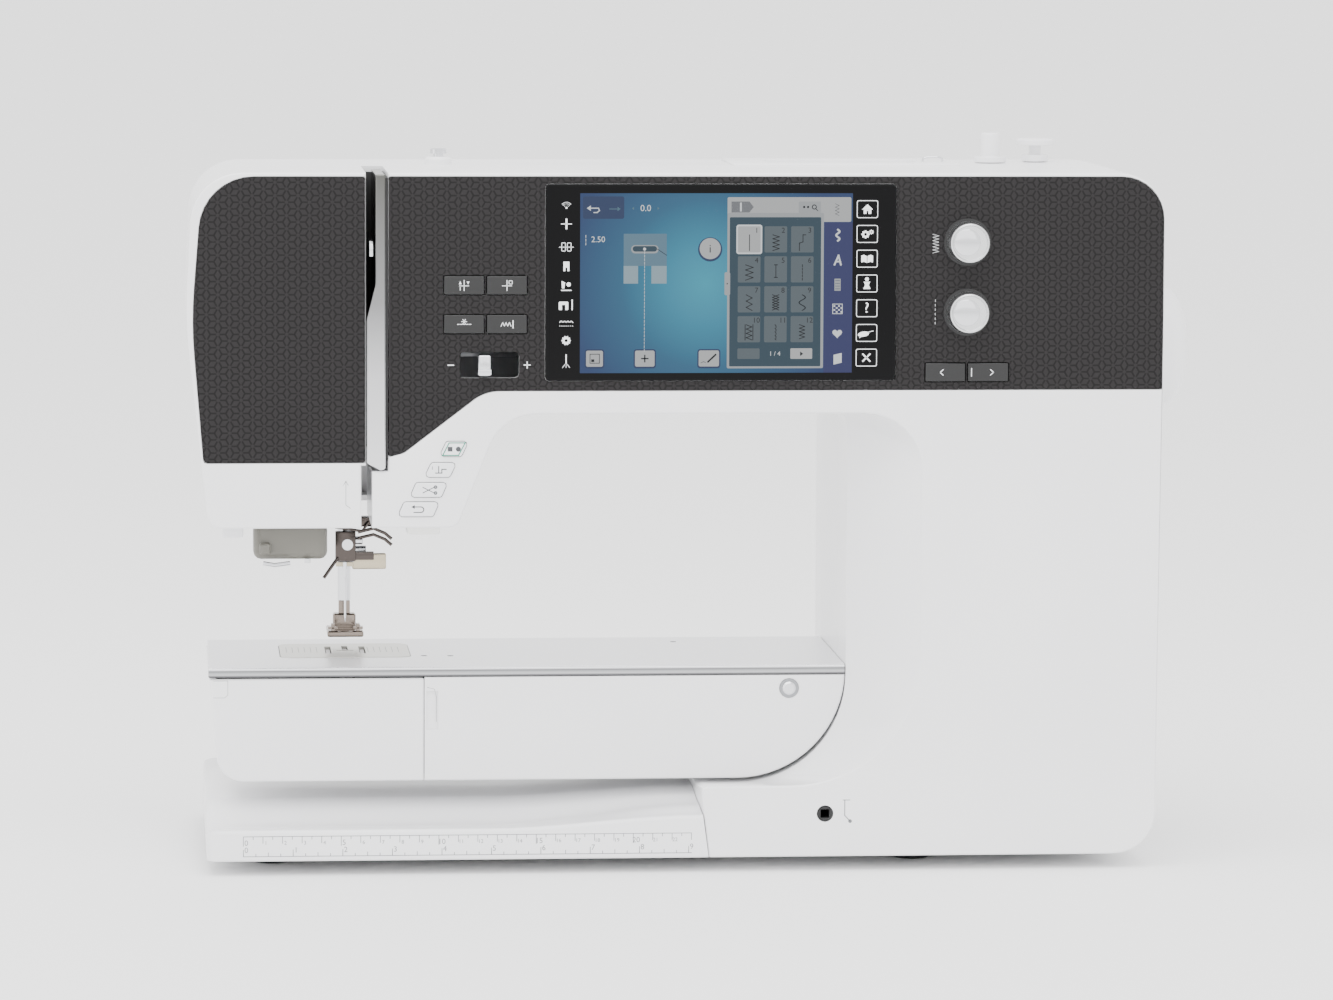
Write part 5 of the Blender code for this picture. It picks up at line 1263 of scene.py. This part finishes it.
# %% [markdown]
# ## Slot shade and arm details
# The inside of the thread slot is painted shade: a thin matt black liner stands just right of the
# take-up lever, under the blade. Thin drawn lines on the free arm stand for the corner guard and, as a
# painted shade line, the edge of the finger recess beside the door, and three dark discs are painted
# shade for the holes in its bed.

# %% Slot and arm details
SLOT_BACK = -24.0
SLOT_FOOT = 214.0
SLOT_TOP = 357.5
# Painted shade: black sheets darken the inside of the deep thread slot.
bm = bmesh.new()
bevelled_box(bm, (-164.6, FRONT + 0.2, SLOT_FOOT), (-163.4, SLOT_BACK, SLOT_TOP), 0.1)
bevelled_box(bm, (-176.0, SLOT_BACK, SLOT_FOOT), (-163.4, -22.6, 357.0), 0.1)
mesh_piece("slot_painted_shade", bm, MATT_BLACK_AND_SHADE, "housing")
bm = bmesh.new()
bevelled_box(bm, (-174.55, FRONT + 0.3, 212.0), (-174.35, SLOT_BACK, SLOT_TOP), 0.02)
mesh_piece("slot_left_painted_shade", bm, MATT_BLACK_AND_SHADE, "housing")
arm_marks = {"group": "arm", "plane": ARM_FACE}
DOOR_EDGE = box_mm("bobbin_door")[1].x
# Painted shade: a thin grey line where the edge of the finger recess beside the door is shaded.
recess_shade_line = [(DOOR_EDGE + 1.6, 92.0), (DOOR_EDGE + 5.4, 91.0), (DOOR_EDGE + 6.4, 87.0),
    (DOOR_EDGE + 6.4, 74.0)]
stroke("grey_print", recess_shade_line, 0.22, **arm_marks)
stroke("grey_print", [(-252.0, 96.0), (-244.6, 96.0), (-244.6, 88.6), (-246.2, 87.2), (-252.0, 87.2)], 0.2,
    **arm_marks)
finish_artwork("arm", "housing")
# Painted shade: dark discs stand for the shaded holes in the bed.
for number, (x, y) in enumerate(((-141.2, -13.0), (-127.4, -14.0), (-5.4, 39.0))):
    turned_piece(f"bed_hole_{number}", [(BED_HIGH.z - 0.5, 1.7), (BED_HIGH.z + 0.03, 1.7)], (x, y, 0.0),
        "Z", MATT_BLACK_AND_SHADE, "housing", 20)
head_marks = {"group": "head_print", "plane": FRONT}
THREAD_X = -184.8
stroke("grey_print", [(THREAD_X, 203.0), (THREAD_X, 191.0), (THREAD_X + 2.2, 189.2)], 0.26, **head_marks)
stroke("grey_print", [(THREAD_X - 1.2, 201.0), (THREAD_X, 203.2), (THREAD_X + 1.2, 201.0)], 0.26,
    **head_marks)
finish_artwork("head_print", "housing")
key_low, key_high = box_mm("start_stop_key")
ring_marks = {"group": "start_ring", "plane": KEY_FACE}
lean = 3.6
ring = [(key_low.x + 0.6, key_low.z + 0.6), (key_high.x - lean - 0.5, key_low.z + 0.6),
    (key_high.x - 0.7, key_high.z - 0.6),
        (key_low.x + lean + 0.3, key_high.z - 0.6), (key_low.x + 0.6, key_low.z + 0.6)]
stroke("green", ring, 0.55, 1, **ring_marks)
finish_artwork("start_ring", body_of("start_stop_key"))
print("slot, arm and head details made")

# %% [markdown]
# ## Stitch plate marks and rear screws
# Seam guide lines on the stitch plate and the screws on the rear cover repeat, so each set is one
# Geometry Nodes group run with its own spacing.

# %% Repeated screws
def screw_group():
    tree = bpy.data.node_groups.new("screw row", "GeometryNodeTree")
    made = tree.interface
    made.new_socket("Geometry", in_out="OUTPUT", socket_type="NodeSocketGeometry")
    for name, kind in (("Step", "NodeSocketVector"), ("Count", "NodeSocketInt"),
            ("Radius", "NodeSocketFloat"),
                       ("Depth", "NodeSocketFloat"), ("Turn", "NodeSocketVector"),
                       ("Finish", "NodeSocketMaterial")):
        made.new_socket(name, in_out="INPUT", socket_type=kind)
    given = tree.nodes.new("NodeGroupInput")
    out = tree.nodes.new("NodeGroupOutput")
    line = tree.nodes.new("GeometryNodeMeshLine")
    disc_node = tree.nodes.new("GeometryNodeMeshCylinder")
    disc_node.inputs["Vertices"].default_value = 24
    spread = tree.nodes.new("GeometryNodeInstanceOnPoints")
    real = tree.nodes.new("GeometryNodeRealizeInstances")
    coat = tree.nodes.new("GeometryNodeSetMaterial")
    for source, target in ((given.outputs["Count"], line.inputs["Count"]),
            (given.outputs["Step"], line.inputs["Offset"]),
                           (given.outputs["Radius"], disc_node.inputs["Radius"]),
                           (given.outputs["Depth"], disc_node.inputs["Depth"]),
                           (line.outputs[0], spread.inputs["Points"]),
                           (disc_node.outputs[0], spread.inputs["Instance"]),
                           (given.outputs["Turn"], spread.inputs["Rotation"]),
                           (spread.outputs[0], real.inputs[0]),
                           (real.outputs[0], coat.inputs["Geometry"]),
                           (given.outputs["Finish"], coat.inputs["Material"]),
                           (coat.outputs[0], out.inputs[0])):
        tree.links.new(source, target)
    return tree


SCREWS = screw_group()
REAR = box_mm("column_rear_cover")[1].y
ARM_REAR_Y = box_mm("rear_cover")[1].y
upright = (math.pi / 2, 0.0, 0.0)
from_group("column_screws", SCREWS, (96.0, REAR - 0.5, 110.0), "housing", Step=(0.0, 0.0, 95.0 * MM),
    Count=3, Radius=2.6 * MM,
           Depth=1.2 * MM, Turn=upright, Finish=DARK_STEEL)
from_group("arm_screws", SCREWS, (-235.0, ARM_REAR_Y - 0.4, 345.0), "housing", Step=(95.0 * MM, 0.0, 0.0),
    Count=4, Radius=2.6 * MM,
           Depth=1.2 * MM, Turn=upright, Finish=DARK_STEEL)
from_group("plate_marks", TICKS, (NX + 12.0, 12.0, BED_HIGH.z + 0.32), "housing", Step=3.2 * MM, Count=6,
    Short=0.03 * MM, Extra=0.0,
           Each=5, Line=0.24 * MM, Thick=22.0 * MM, Down=0.0, Ink=INK["grey_print"])
from_group("plate_marks_left", TICKS, (NX - 31.0, 12.0, BED_HIGH.z + 0.32), "housing", Step=3.2 * MM,
    Count=6, Short=0.03 * MM, Extra=0.0,
           Each=5, Line=0.24 * MM, Thick=22.0 * MM, Down=0.0, Ink=INK["grey_print"])
print("repeated marks made")

# %% [markdown]
# ## Camera, lights and floor
# The camera stands far off with a long lens, a little left of the middle and a little above, so the
# front is seen almost square on. One broad soft panel above and two weak ones at the sides light a
# pale floor and leave only a soft shadow.

# %% Camera
TURN = math.radians(4.9)
TILT = math.radians(5.8)
ROLL = math.radians(0.25)
AIM = Vector((-21.0, -98.0, 192.8)) * MM
forward = Vector((math.sin(TURN) * math.cos(TILT), math.cos(TURN) * math.cos(TILT), -math.sin(TILT)))
level = Vector((math.cos(TURN), -math.sin(TURN), 0.0))
upward = level.cross(forward)
right_axis = level * math.cos(ROLL) + upward * math.sin(ROLL)
up_axis = upward * math.cos(ROLL) - level * math.sin(ROLL)
camera_data = bpy.data.cameras.new("Camera")
camera_data.lens = 162.0
camera_data.sensor_width = 36.0
camera_data.clip_end = 120.0
camera_data.dof.use_dof = False
camera = bpy.data.objects.new("Camera", camera_data)
bpy.context.scene.collection.objects.link(camera)
camera.matrix_world = Matrix.Translation(AIM - forward * 3.0675) @ Matrix((right_axis, up_axis,
    -forward)).transposed().to_4x4()
bpy.context.scene.camera = camera
print("camera at", [round(v, 3) for v in camera.location])


# %% Lights and floor
def soft_panel(name, place, target, width, height, watts):
    data = bpy.data.lights.new(name, "AREA")
    data.shape = "RECTANGLE"
    data.size, data.size_y = width, height
    data.energy = watts
    lamp = bpy.data.objects.new(name, data)
    bpy.context.scene.collection.objects.link(lamp)
    lamp.location = place
    lamp.rotation_euler = (Vector(target) - Vector(place)).to_track_quat("-Z", "Y").to_euler()
    lamp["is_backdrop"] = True
    return lamp


soft_panel("over", (-0.3, -0.9, 2.2), (0.0, 0.0, 0.1), 2.4, 2.0, 54.0)
soft_panel("front", (0.1, -3.4, 1.3), (0.0, 0.0, 0.2), 3.0, 1.8, 14.0)
soft_panel("side", (-2.2, -0.8, 0.9), (0.0, 0.0, 0.2), 1.2, 1.8, 9.0)
world = bpy.data.worlds.new("Studio")
world.use_nodes = True
world.node_tree.nodes["Background"].inputs["Color"].default_value = hex_colour("#FFFFFF")
world.node_tree.nodes["Background"].inputs["Strength"].default_value = 2.3
bpy.context.scene.world = world
floor_finish, _, _ = new_material("floor", "#F7F7F7", 0.7, 0.0)
floor_mesh = bpy.data.meshes.new("floor")
floor_mesh.from_pydata([(-40, -10, 0), (40, -10, 0), (40, 70, 0), (-40, 70, 0)], [], [(0, 1, 2, 3)])
floor_mesh.materials.append(floor_finish)
floor = bpy.data.objects.new("floor", floor_mesh)
bpy.context.scene.collection.objects.link(floor)
floor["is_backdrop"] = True

# %% [markdown]
# ## Sizes and close
# The box round every finished piece is printed in millimetres.

# %% Sizes
low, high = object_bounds()
print("finished box (mm):", [round(v * 1000, 1) for v in low], [round(v * 1000, 1) for v in high])
